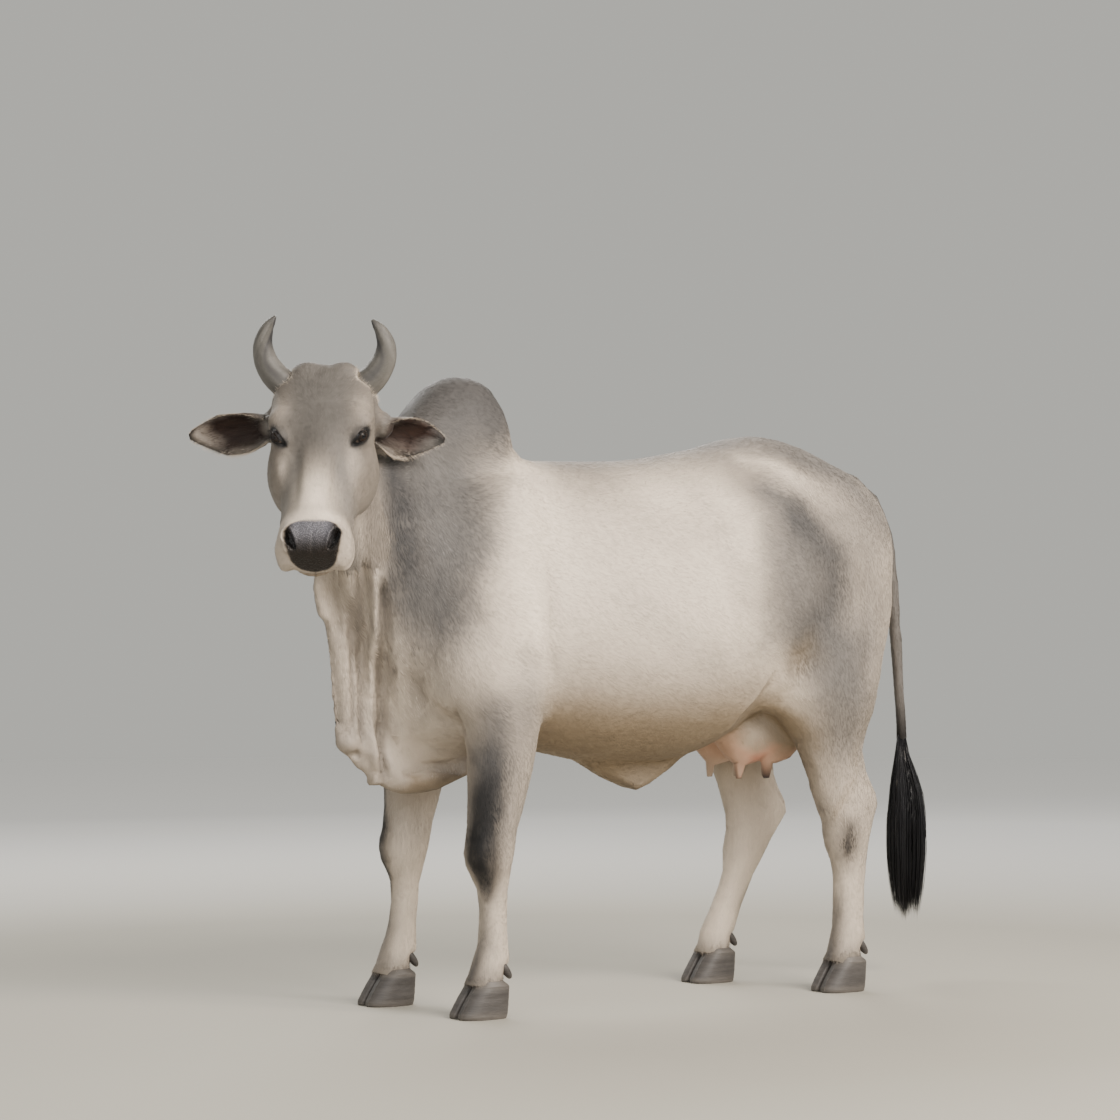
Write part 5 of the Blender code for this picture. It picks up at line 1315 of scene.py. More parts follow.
def build_skin(hide):
    """One closed skin over all the flesh, with the folds and the face worked into it."""
    parts = [node_copy(name) for name in FLESH + ["eye_left", "eye_right"]]
    skin = join("skin", parts)
    apply_modifier(
        skin, "REMESH", mode="VOXEL", voxel_size=hide.fineness * 1, adaptivity=0.0
    )
    mesh = skin.data
    points, edges = read_points(mesh), read_edges(mesh)
    x, y, z = points.T
    a = head_place(points)[0]
    share = np.full(len(points), 0.6)
    small = (z < 0.56) & (z > 0.47) & (x > 0.33) & (x < 0.56) & (np.abs(y - MID) < 0.1)
    share[small] = 0.12
    share[(x > 0.86) & (z < 1.15)] = 0.15
    share[(a > 0.4) & (x < -0.6)] = 0.3
    share[(z < 0.1)] = 0.25
    points = relax(points, edges, 36, share, 0.88)
    write_points(mesh, points)
    added = [make_ear(sign) for sign in (1, -1)]
    added += [
        make_teat(vec(x0, MID + side * 0.055, 0.568), side * 0.06) for x0 in (0.4, 0.48) for side in (1, -1)
    ]
    for part in added:
        apply_modifier(skin, "BOOLEAN", operation="UNION", object=part, solver="MANIFOLD")
        bpy.data.objects.remove(part)
    face = [
        (head_point(0.05, 0, -0.05), 0.16), (head_point(0.2, 0, -0.06), 0.16),
        (head_point(0.36, 0, -0.09), 0.14), (head_point(0.44, 0, -0.11), 0.11)
    ]
    refine(skin, face)
    eyes = [(eye_axes(sign)[0], 0.04) for sign in (1, -1)]
    nose = [(head_point(0.455, sign * 0.045, -0.075), 0.042) for sign in (1, -1)]
    lips = [(head_point(a0, sign * 0.06, u0), 0.03) for a0, u0 in MOUTH_LINE[1:] for sign in (1, -1)]
    lips += [(head_point(0.485, 0, -0.155), 0.045), (head_point(0.48, 0, -0.115), 0.045)]
    refine(skin, eyes + nose + lips)
    refine(skin, [(eye_axes(sign)[0] + eye_axes(sign)[1] * 0.012, 0.03) for sign in (1, -1)])
    refine(skin, [(head_point(0.455, sign * 0.048, -0.065), 0.026) for sign in (1, -1)])
    mesh = skin.data
    points, triangles, edges = read_points(mesh), read_triangles(mesh), read_edges(mesh)
    a, s, _ = head_place(points)
    roots = np.full(len(points), 1.0)
    for sign in (1, -1):
        root = ear_axes(sign)[3] + ear_axes(sign)[0] * 0.02
        roots = np.minimum(roots, lengths(points - root))
    points = relax(points, edges, 6, 0.55 * step(roots, 0.05, 0.025))
    on_face = (a > -0.05) & (a < 0.53) & (np.abs(s) < 0.125) & (points[:, 0] < -0.5)
    points = relax(points, edges, 4, 0.5 * on_face)
    normals = point_normals(points, triangles)
    points += normals * (body_form(points) + head_form(points))[:, None]
    points = relax(points, edges, 2, 0.35 * (1 - on_face))
    points = set_eyes(points)
    points = set_nostrils(points, point_normals(points, triangles))
    normals = point_normals(points, triangles)
    # fine wrinkles, then in from the solids by the depth of the coat
    fine = 0.001 * noise(points, (0.05, 0.05, 0.016), 51) + 0.0006 * noise(points, 0.012, 52)
    body = step(lengths(points - head_point(0.2, 0, -0.05)), 0.2, 0.3)
    bare = muffle(points)
    pebble = 0.0004 * noise(points, 0.0032, 53) * bare
    t_ears = np.minimum(
        *(np.abs(ear_place(points, sign)[1]) + 10 * (ear_place(points, sign)[0] < 0.15) for sign in (1, -1))
    )
    thin = step(t_ears, 0.05, 0.07)
    inset = hide.depth * (1 - bare) * np.maximum(0.25, thin)
    points += normals * (fine * body * (1 - bare) + pebble - inset)[:, None]
    write_points(mesh, points)
    lids = np.zeros(len(points), bool)
    for sign in (1, -1):
        lids |= lengths(points - eye_axes(sign)[0]) < 0.034
    keep = skin.vertex_groups.new(name="coarser")
    weight = np.where(lids, 0.35, np.where(on_face, 0.8, 1.0))
    for value in (0.35, 0.8, 1.0):
        keep.add(np.where(weight == value)[0].tolist(), value, "REPLACE")
    count, limit = len(triangles), SKIN_LIMIT
    if count > limit:
        apply_modifier(skin, "DECIMATE", ratio=limit / count, vertex_group="coarser", vertex_group_factor=1.0)
    skin.vertex_groups.clear()
    pick(skin)
    bpy.ops.object.shade_smooth()
    return skin


def skin_material():
    """Hide under short hair: the marks of the coat, fine grain, and a pebbled wet nose."""
    n = Nodes(
        "short_hide", Roughness=0.62, IOR=1.42, Specular_IOR_Level=0.3, Sheen_Weight=0.05,
        Sheen_Roughness=0.45
    )
    colour = n.attribute("hide")
    fine = n.noise(900, 4, 0.65)
    broad = n.noise(60, 4, 0.6)
    colour = n.grain(colour, fine, 0.35, (0.72, 0.71, 0.7), 1.12)
    colour = n.grain(colour, broad, 0.25, (0.86, 0.85, 0.84), 1.06, 0.35, 0.65)
    wet = n.attribute("wet", "Fac")
    # the nose's pebbles are painted paler on top and darker in the cracks: painted light and shade that follow
    # their bump
    cells = n.add("TexVoronoi", Scale=330, Randomness=0.9)
    n.link(n.add("TexCoord").outputs["Object"], cells.inputs["Vector"])
    pebble_light_and_shade = n.ramp(cells.outputs["Distance"], ((0.0, (1.35, 1.35, 1.35)), (0.55, (0.55, 0.55, 0.55))))
    n.feed(Base_Color=n.mix(wet, colour, n.mix(1.0, colour, pebble_light_and_shade, "MULTIPLY")))
    n.feed(Roughness=n.value("SUBTRACT", 0.62, n.value("MULTIPLY", wet, 0.34)))
    down = n.noise(1.0, 3, 0.6, grain=(0.0014, 0.0014, 0.018))
    back = n.noise(1.0, 3, 0.6, grain=(0.018, 0.0014, 0.0014), turn=math.radians(27))
    lines = n.mix(n.attribute("hang", "Fac"), back, down)
    hairs = n.bump(lines, 0.55, 0.0007, n.bump(fine, 0.25, 0.0004))
    skin = n.bump(
        n.value("MULTIPLY", cells.outputs["Distance"], n.value("MULTIPLY", wet, -1.0)), 0.9, 0.0012, hairs
    )
    n.feed(Normal=skin)
    return n.material


# The coat


def coat_length(points, normals, coat):
    """How long the hair is at each place, and how densely it grows."""
    x, y, z = points.T
    a, s, u = head_place(points)
    on_head = (a > -0.04) & (a < 0.52) & (np.abs(s) < 0.17) & (x < -0.5) & (u > -0.25)
    length = np.full(len(points), coat.length)
    dense = np.ones(len(points))
    length *= 1 - 0.35 * step(z, 0.5, 0.3)
    dense *= 1 + 0.6 * step(z, 0.5, 0.3)
    face = on_head * 1.0
    length *= 1 - 0.45 * face * step(a, 0.05, 0.2) - 0.15 * face * step(a, 0.3, 0.42)
    dense *= 1 + 1.1 * face
    neck = step(x, -0.38, -0.48) * (1 - face)
    length *= 1 + 0.25 * neck - 0.6 * neck * step(z, 0.7, 0.6) * step(z, 0.46, 0.5)
    dense *= 1 - 0.25 * step(-normals[:, 2], 0.3, 0.9) * (z > 0.45)
    bare = muffle(points)
    for sign in (1, -1):
        m = lid_place(points, sign)[0]
        bare = np.maximum(bare, step(m, -0.0035, -0.0015) * (m > -0.5))
        length *= 1 - 0.5 * step(m, -0.02, -0.008)
        t, w, f = ear_place(points, sign)
        inside = within_ear(t, w, f, 0.1, 1.02, 0.05) & (normals @ ear_axes(sign)[1] > 0.1)
        away = lengths(points - POLL) > 0.125
        dense = np.where(inside & away, 0.8, dense)
        length = np.where(within_ear(t, w, f, 0.05, 1.05) & away, coat.length * 0.7, length)
        bare = np.maximum(bare, step(nostril_gap(points, sign)[0], 0.003, 0.001))
    udder = (x > 0.3) & (x < 0.6) & (z < 0.66) & (z > 0.46) & (np.abs(y - MID) < 0.1)
    dense = np.where(udder, 0.35, dense)
    length = np.where(udder, length * 0.55, length)
    teat = udder & (z < 0.545)
    dense = np.where(teat, 0.0, dense)
    return length, dense * (1 - bare)


def lie(points, normals):
    """The way the hair lies along the body at each place."""
    x, y, z = points.T
    a, s, u = head_place(points)
    side = np.sign(y - MID)
    flow = np.tile(vec(0.86, 0.0, -0.45), (len(points), 1))

    def turn(amount, way):
        nonlocal flow
        amount = np.clip(amount, 0, 1)[:, None]
        flow = flow * (1 - amount) + np.asarray(way) * amount

    turn(step(z, 1.08, 1.22), vec(1.0, 0, -0.1))
    turn(step(x, 0.36, 0.52), vec(0.35, 0, -0.95))
    turn(step(x, -0.32, -0.46), vec(0.45, 0, -0.9))
    turn(step(x, -0.5, -0.62), vec(0.2, 0, -1.0))
    turn(step(z, 0.66, 0.5), vec(0.08, 0, -1.0))
    turn(step(x, 0.7, 0.8), vec(0.1, 0, -1.0))
    turn((z < 0.7) * (z > 0.52) * (np.abs(x - 0.05) < 0.22) * 1.0, vec(1.0, 0, -0.15))
    turn(step(-normals[:, 2], 0.4, 0.8) * (z > 0.45), vec(1.0, 0, -0.05))
    hump = dome(points, (-0.37, MID, 1.36), (0.16, 0.14, 0.12), 1.4)
    turn(hump, vec(0.75, 0, -0.55))
    flow[:, 1] += 0.1 * side * step(z, 1.3, 1.1)
    head = ((a > -0.06) & (a < 0.53) & (np.abs(s) < 0.17) & (x < -0.5) & (u > -0.3)).astype(float)
    away = step(a, 0.17, 0.08)[:, None]
    down = (
        FACE_AXIS[None] * (1 - 1.7 * away) + HEAD_LEFT[None] * (s / 0.1)[:, None] * (0.35 + 0.5 * away)
        - FACE_UP * 0.1
    )
    flow = flow * (1 - head[:, None]) + down * head[:, None]
    for sign in (1, -1):
        t, w, f = ear_place(points, sign)
        on_ear = within_ear(t, w, f, 0.0, 1.06)
        on_ear &= lengths(points - POLL) > 0.12
        flow[on_ear] = ear_axes(sign)[0] + ear_axes(sign)[2] * (w[on_ear] / 0.05 * 0.45)[:, None]
    swirl = noises(points, 0.06, 61)
    fine = noises(points, 0.014, 64)
    flow = flow + 0.16 * swirl + 0.1 * fine
    flow -= normals * np.einsum("ij,ij->i", flow, normals)[:, None]
    return flow / np.maximum(lengths(flow), 1e-9)[:, None]


COAT_PARTS = (
    "coat_head", "coat_neck", "coat_shoulder", "coat_barrel", "coat_haunch", "coat_forelegs", "coat_hindlegs",
    "coat_tail"
)


def coat_part(points):
    """Which piece of the coat each place belongs to."""
    x, y, z = points.T
    a, s, u = head_place(points)
    part = np.full(len(points), 3)
    part[x > 0.3] = 4
    part[x < -0.22] = 2
    part[x < -0.5] = 1
    part[(z < 0.66) & (x < -0.22) & (np.abs(y - MID) > 0.075)] = 5
    part[(z < 0.7) & (x > 0.42)] = 6
    part[(x > 0.83)] = 7
    part[(a > -0.06) & (a < 0.53) & (np.abs(s) < 0.34) & (x < -0.42) & (u > -0.26)] = 0
    return part


def unwrap(skin):
    """Unwraps the skin's own shape, and returns the place of each triangle's corners on it."""
    on_all(skin, bpy.ops.uv.smart_project, angle_limit=math.radians(72), island_margin=0.004, area_weight=0.3)
    mesh = skin.data
    mesh.calc_loop_triangles()
    loops = np.empty(len(mesh.loop_triangles) * 3, np.int32)
    mesh.loop_triangles.foreach_get("loops", loops)
    layer = mesh.uv_layers.active
    uv = np.empty(len(mesh.loops) * 2, np.float32)
    layer.data.foreach_get("uv", uv)
    uv = uv.reshape(-1, 2)[loops].reshape(-1, 3, 2)
    mesh.uv_layers.remove(layer)
    return uv


def over(tree, places, height):
    """The nearest places on the skin, raised by a height."""
    found = [tree.find_nearest(place)[:2] for place in places.tolist()]
    hits, ways = (np.array([pair[k] for pair in found]) for k in (0, 1))
    return hits + ways * height[:, None]


def scatter(draw, count, weight, corners, ways):
    """Random roots on weighted triangles: which triangle, its corners' shares, the place and the normal."""
    chosen = np.searchsorted(np.cumsum(weight), draw.random(count) * weight.sum())
    chosen = np.minimum(chosen, len(weight) - 1)
    r1, r2 = np.sqrt(draw.random(count)), draw.random(count)
    share = np.stack((1 - r1, r1 * (1 - r2), r1 * r2), axis=1)
    root = np.einsum("ij,ijk->ik", share, corners[chosen])
    normal = np.einsum("ij,ijk->ik", share, ways[chosen])
    return chosen, share, root, normal / np.maximum(lengths(normal), 1e-9)[:, None]


def grow(skin, coat, hide):
    """Lays short tufts over the skin, each from its own root, along the lie of the hair."""
    draw = np.random.default_rng(coat.seed)
    points, triangles = read_points(skin.data), read_triangles(skin.data)
    normals = point_normals(points, triangles)
    places = unwrap(skin)
    corners = points[triangles]
    middle = corners.mean(axis=1)
    facing = np.cross(corners[:, 1] - corners[:, 0], corners[:, 2] - corners[:, 0])
    area = lengths(facing) / 2
    length, dense = coat_length(middle, facing / np.maximum(2 * area, 1e-12)[:, None], coat)
    weight = area * dense
    count = coat.tufts // 1
    chosen, share, root, normal = scatter(draw, count, weight, corners, normals[triangles])
    uv = np.einsum("ij,ijk->ik", share, places[chosen])
    flow = lie(root, normal)
    side = np.cross(normal, flow)
    twist = draw.normal(0, 0.13, count)[:, None]
    flow = flow * np.cos(twist) + side * np.sin(twist)
    side = np.cross(normal, flow)
    neck = step(root[:, 0], -0.4, -0.5) * step(root[:, 2], 0.6, 0.8)
    short = np.clip(length[chosen] / coat.length, 0.45, 1.3)
    size = length[chosen] * draw.uniform(0.75, 1.2, count) * 1
    width = coat.width * draw.uniform(0.75, 1.25, count) * short * 1
    lift = coat.lift * draw.uniform(0.5, 1.3, count) * short
    tree = BVHTree.FromPolygons(points.tolist(), triangles.tolist())
    middles = over(tree, root + flow * (size * 0.42)[:, None], lift * 0.5 + 0.0002)
    tips = over(tree, root + flow * size[:, None], lift)
    paths = np.stack((root - normal * 0.0003, middles, tips), axis=1)
    colour = hide_colour(root, normal, hide)
    clump = noise(root + flow * 0.004, 0.006, 71)
    shade = 1 + (0.05 + 0.1 * neck) * clump + draw.normal(0, 0.035, count) * (1 + 2.0 * neck)
    along = np.array((0.96, 0.98, 0.98, 1.02, 1.06))
    tint = np.clip(colour[:, None] * (np.clip(shade, 0.5, 1.4)[:, None] * along)[..., None], 0.003, 0.97)
    parts = coat_part(root)
    made = []
    for k, name in enumerate(COAT_PARTS):
        where = np.where(parts == k)[0]
        pieces = max(1, math.ceil(len(where) * 6 / PIECE_LIMIT))
        where = where[np.argsort(root[where, 0], kind="stable")]
        for i, some in enumerate(np.array_split(where, pieces)):
            if len(some):
                label = name if pieces == 1 else f"{name}_{i + 1}"
                made.append(
                    tufts(label, paths[some], side[some], normal[some], width[some], tint[some], uv[some])
                )
    return made


def coat_material(name="short_coat", roughness=0.55):
    """Short satin hair in the colours of the hide."""
    n = Nodes(name, Roughness=roughness, Specular_IOR_Level=0.28, Sheen_Weight=0.04, Sheen_Roughness=0.4)
    fine = n.noise(1400, 2, 0.5)
    colour = n.grain(n.attribute("hide"), fine, 0.5, 0.8, 1.15)
    n.feed(Base_Color=colour)
    n.feed(Normal=n.bump(fine, 0.25, 0.0004))
    return n.material


# Eyes, face hair, horns, feet, tail tuft


def build_eyes(eyes):
    """Glossy dark eyeballs with a soft cornea and a lying oval pupil."""
    made = []
    for sign, name in ((1, "left"), (-1, "right")):
        centre, out, long, high = eye_axes(sign)
        deselect()
        bpy.ops.mesh.primitive_uv_sphere_add(segments=48, ring_count=32, radius=EYE_RADIUS * 0.985)
        obj = bpy.context.object
        obj.name = obj.data.name = "eyeball_" + name
        on_all(obj, bpy.ops.mesh.subdivide, number_cuts=1, smoothness=1.0)
        p = read_points(obj.data)
        p *= (EYE_RADIUS * 0.985 / lengths(p))[:, None]
        p = p[:, :1] * long + p[:, 1:2] * high + p[:, 2:] * out
        look = unit(out * 0.96 + long * 0.1)
        q = units(p)
        facing = q @ look
        p *= (1 + 0.035 * step(facing, 0.8, 0.97))[:, None]
        ring = np.degrees(np.arccos(np.clip(facing, -1, 1)))
        off = q - look * facing[:, None]
        pupil = np.hypot((off @ long) / 0.3, (off @ high) / 0.17)
        iris, dark, white = (tone(eyes, k) for k in ("iris", "pupil", "white"))
        ray = 1 + 0.25 * np.sin(np.arctan2(off @ high, off @ long) * 34) * step(ring, 8, 26)
        colour = iris[None] * ray[:, None]
        colour = colour * (1 - step(pupil, 1.1, 0.9)[:, None]) + dark * step(pupil, 1.1, 0.9)[:, None]
        rim = step(ring, 33, 37)[:, None]
        colour = colour * (1 - rim) + dark * 1.2 * rim
        rim = step(ring, 40, 52)[:, None]
        colour = colour * (1 - rim) + white * rim
        write_points(obj.data, p + centre)
        if np.linalg.det(np.stack((long, high, out))) < 0:
            on_all(obj, bpy.ops.mesh.flip_normals)
        pick(obj)
        bpy.ops.object.shade_smooth()
        paint(obj, "hide", np.clip(colour, 0.002, 1))
        made.append(obj)
    n = Nodes(
        "eye_glass", Roughness=0.07, IOR=1.36, Specular_IOR_Level=0.25, Coat_Weight=0.08, Coat_Roughness=0.04
    )
    grain = n.noise(700, 3, 0.6)
    n.feed(Base_Color=n.grain(n.attribute("hide"), grain, 0.4, 0.6, 1.3))
    for obj in made:
        obj.data.materials.clear()
        obj.data.materials.append(n.material)
    return made


def bent(root, way, bend, length, steps):
    """Paths of hairs that set out one way and bend towards another."""
    t = np.linspace(0, 1, steps)
    return (
        root[:, None] + way[:, None] * (length[:, None] * t)[..., None] + bend[:, None]
        * (length[:, None] * t**2.0)[..., None]
    )


def taper(width, steps):
    """The width of each hair at its steps, down to its tip."""
    t = np.linspace(0, 1, steps)
    return width[:, None] * (1 - t**1.4) * (0.75 + 0.25 * np.sin(np.pi * np.minimum(t * 2, 1)))


def build_lashes(draw):
    """Short dark lashes from the upper lids, and a few below."""
    paths = []
    for sign in (1, -1):
        _, out, long, high = eye_axes(sign)
        for upper, count, reach in ((1, 64, 0.017), (-1, 26, 0.007)):
            along = np.linspace(-0.9, 0.86, count) * LID_HALF + draw.normal(0, 0.0003, count)
            arch = np.clip(1 - (along / LID_HALF) ** 2, 0, 1) ** 0.85
            height = arch * (LID_HIGH if upper > 0 else -LID_LOW) * 1.06 + upper * 0.0008
            radius = EYE_RADIUS + 0.0028
            root = np.array([eye_point(sign, p, q, radius) for p, q in zip(along, height)])
            way = (
                unit(out * 0.85 + high * (-0.1 if upper > 0 else -0.35))[None] - long[None]
                * (0.25 - 10 * along)[:, None] * 0.5
            )
            way = way + draw.normal(0, 0.08, (count, 3))
            way = units(way)
            bend = np.tile(high * (-0.25 if upper > 0 else -0.1) + out * -0.1, (count, 1))
            paths.append(
                bent(root, way, bend, reach * draw.uniform(0.7, 1.1, count) * (0.55 + 0.45 * arch), 5)
            )
    paths = np.concatenate(paths)
    count = len(paths)
    width = taper(np.full(count, 0.00055), 5)
    side = np.repeat(np.tile(UP, (count, 1))[:, None], 5, axis=1) + 0.01
    colour = np.tile(vec(0.012, 0.01, 0.009), (count, 1))
    return strands("lashes", paths, side, width, width * 0.5, colour)


def build_ear_hair(draw, hide):
    """The pale fringe along each ear's lower edge, and the long hairs that line the cup."""
    cream, ear, black = tone(hide, "cream"), tone(hide, "ear"), tone(hide, "black")
    groups = []
    for sign in (1, -1):
        axis, front, wide, _ = ear_axes(sign)
        # fringes along both edges
        for edge, count, reach in ((1, 700, 0.013), (-1, 420, 0.007)):
            t = draw.uniform(0.1, 0.99, count)
            v = edge * draw.uniform(0.86, 0.995, count)
            root = ear_surface(sign, t, v, draw.uniform(-0.001, 0.0025, count))
            way = axis * 0.9 + wide * edge * 0.5 + front * (0.1 if edge > 0 else 0.0)
            way = way + draw.normal(0, 0.16, (count, 3))
            way = units(way)
            bend = np.tile(axis * 0.35 - UP * 0.25, (count, 1))
            length = reach * draw.uniform(0.5, 1.1, count) * (0.55 + 0.45 * np.sin(np.pi * np.clip(t, 0, 1)))
            colour = np.tile(cream, (count, 1)) * draw.uniform(0.75, 1.1, count)[:, None]
            if edge > 0:
                dark = (t > 0.55) & (draw.random(count) < 0.55)
                colour[dark] = black * 1.2
                length[dark] *= 0.45
            groups.append((root, way, bend, length, np.full(count, 0.0007), colour))
        # lining hairs that start at the root and at the edges and reach over the dark cup
        count = 1100
        t = draw.uniform(0.08, 0.8, count) ** 1.15
        v = draw.uniform(-0.8, 0.9, count)
        root = ear_surface(sign, t, v, EAR_THICK * 0.35)
        way = axis * 1.0 + wide * (v * 0.25)[:, None] + front * 0.16 + draw.normal(0, 0.1, (count, 3))
        way = units(way)
        length = draw.uniform(0.012, 0.034, count) * (1.05 - 0.6 * t)
        bend = np.tile(axis * 0.1 - front * 0.1, (count, 1))
        light = step(v, 0.25, 0.8) * 0.8 + 0.25 * (draw.random(count) < 0.1)
        colour = ear * vec(1.4, 1.1, 1.0) * (1 - light[:, None]) + cream * 0.38 * light[:, None]
        colour *= draw.uniform(0.6, 1.2, count)[:, None]
        groups.append((root, way, bend, length, np.full(count, 0.0008), colour))
        # curls at the root
        count = 420
        t = draw.uniform(0.02, 0.22, count)
        v = draw.uniform(-1.0, 1.0, count)
        root = ear_surface(sign, t, v, draw.uniform(0.0, 0.004, count))
        way = axis * 0.5 + front * 0.75 + draw.normal(0, 0.25, (count, 3))
        way = units(way)
        bend = np.tile(axis * 0.8 - front * 0.35 - UP * 0.2, (count, 1))
        colour = np.tile(tone(hide, "brow") * 1.9, (count, 1)) * draw.uniform(0.45, 1.25, count)[:, None]
        groups.append((root, way, bend, draw.uniform(0.008, 0.018, count), np.full(count, 0.0007), colour))
    return hair_piece("ear_hair", groups, 5)


def hair_piece(name, groups, steps):
    """Joins groups of bent hairs into one piece."""
    paths, widths, colours = [], [], []
    for root, way, bend, length, width, colour in groups:
        paths.append(bent(root, way, bend, length, steps))
        widths.append(taper(width, steps))
        colours.append(colour)
    paths, widths, colours = (np.concatenate(part) for part in (paths, widths, colours))
    tangent = paths[:, -1] - paths[:, 0]
    side = np.cross(tangent, UP + 0.01)
    side = np.repeat(side[:, None], steps, axis=1)
    fade = np.linspace(0.82, 1.1, steps)
    tint = np.clip(colours[:, None] * fade[None, :, None], 0.003, 0.97)
    return strands(name, paths, side, widths, widths * 0.4, tint)


def surface_roots(skin, draw, count, test):
    """Random roots on the part of the skin that passes a test of its places and directions."""
    points, triangles = read_points(skin.data), read_triangles(skin.data)
    normals = point_normals(points, triangles)
    corners = points[triangles]
    area = lengths(np.cross(corners[:, 1] - corners[:, 0], corners[:, 2] - corners[:, 0]))
    weight = area * test(corners.mean(axis=1), normals[triangles].mean(axis=1))
    _, _, root, normal = scatter(draw, count, weight, corners, normals[triangles])
    return root, normal


def build_face_hair(skin, draw, hide):
    """The pale fringe of the poll over the horns' bases, and the bristles of chin and lips."""
    cream, brown, black = tone(hide, "cream"), tone(hide, "brow"), tone(hide, "black")
    groups = []

    def poll(p, n):
        a, s, u = head_place(p)
        return np.exp(-((a + 0.004) / 0.03) ** 2) * (np.abs(s) < 0.105) * (u > -0.09) * (p[:, 0] < -0.45)

    root, normal = surface_roots(skin, draw, 1100, poll)
    a, s, u = head_place(root)
    flow = lie(root, normal)
    way = flow * 1.0 + normal * 0.12 + draw.normal(0, 0.08, root.shape)
    way = units(way)
    edge = step(np.abs(s), 0.035, 0.08)[:, None]
    colour = (brown * (1 - edge) + cream * edge) * draw.uniform(0.8, 1.15, len(root))[:, None]
    bend = -UP[None] * 0.2 + flow * 0.2
    groups.append(
        (root, way, bend, draw.uniform(0.005, 0.009, len(root)), np.full(len(root), 0.0007), colour)
    )

    def horn_ring(p, n):
        near_horn = np.zeros(len(p))
        for sign in (1, -1):
            d = lengths(p - horn_foot(sign)[0])
            near_horn = np.maximum(near_horn, np.exp(-((d - 0.036) / 0.01) ** 2))
        return near_horn

    root, normal = surface_roots(skin, draw, 1500, horn_ring)
    out = np.zeros_like(root)
    for sign in (1, -1):
        base, tip_way = horn_foot(sign)
        mine = lengths(root - base) < 0.08
        out[mine] = tip_way
    way = out * 1.0 + normal * 0.12 + draw.normal(0, 0.08, root.shape)
    way = units(way)
    colour = np.tile(cream * 1.05, (len(root), 1)) * draw.uniform(0.8, 1.1, len(root))[:, None]
    groups.append(
        (root, way, out * 0.1, draw.uniform(0.005, 0.01, len(root)), np.full(len(root), 0.0007), colour)
    )

    def chin(p, n):
        a, _, u = head_place(p)
        return ((a > 0.37) & (a < 0.5) & (u < -0.1) & (p[:, 0] < -0.6)) * (1 - muffle(p))

    root, normal = surface_roots(skin, draw, 260, chin)
    way = normal * 0.8 - UP * 0.25 + FACE_AXIS * 0.25 + draw.normal(0, 0.2, root.shape)
    way = units(way)
    colour = np.tile(cream * 0.8, (len(root), 1))
    colour[::3] = black * 2
    groups.append(
        (
            root, way, np.tile(-UP * 0.25, (len(root), 1)), draw.uniform(0.006, 0.022, len(root)),
            np.full(len(root), 0.00035), colour
        )
    )
    return hair_piece("face_hair", groups, 5)


def build_foot_hair(skin, draw, hide):
    """The short fringe over the top of each claw."""

    def above_claws(p, n):
        return step(p[:, 2], 0.074, 0.079) * step(p[:, 2], 0.1, 0.086) * (n[:, 2] > -0.6)

    root, normal = surface_roots(skin, draw, 2400, above_claws)
    way = normal * 0.42 - UP * 0.8 + draw.normal(0, 0.1, root.shape)
    way = units(way)
    colour = hide_colour(root, normal, hide) * draw.uniform(0.75, 1.2, len(root))[:, None]
    bend = -UP[None] * 0.25 - normal * 0.15
    groups = [(root, way, bend, draw.uniform(0.007, 0.014, len(root)), np.full(len(root), 0.0008), colour)]
    return hair_piece("foot_hair", groups, 4)


HORN_PATH = (
    # to the side, forward and up from the poll, and radius
    (0.062, -0.022, -0.06, 0.0315), (0.092, -0.018, -0.036, 0.032), (0.115, -0.013, -0.012, 0.03),
    (0.131, -0.006, 0.018, 0.026),
    (0.135, 0.004, 0.052, 0.021), (0.126, 0.013, 0.083, 0.015), (0.115, 0.018, 0.1, 0.0095),
    (0.107, 0.02, 0.111, 0.004),
)
HORN_RISE = {1: 0.885, -1: 0.97}


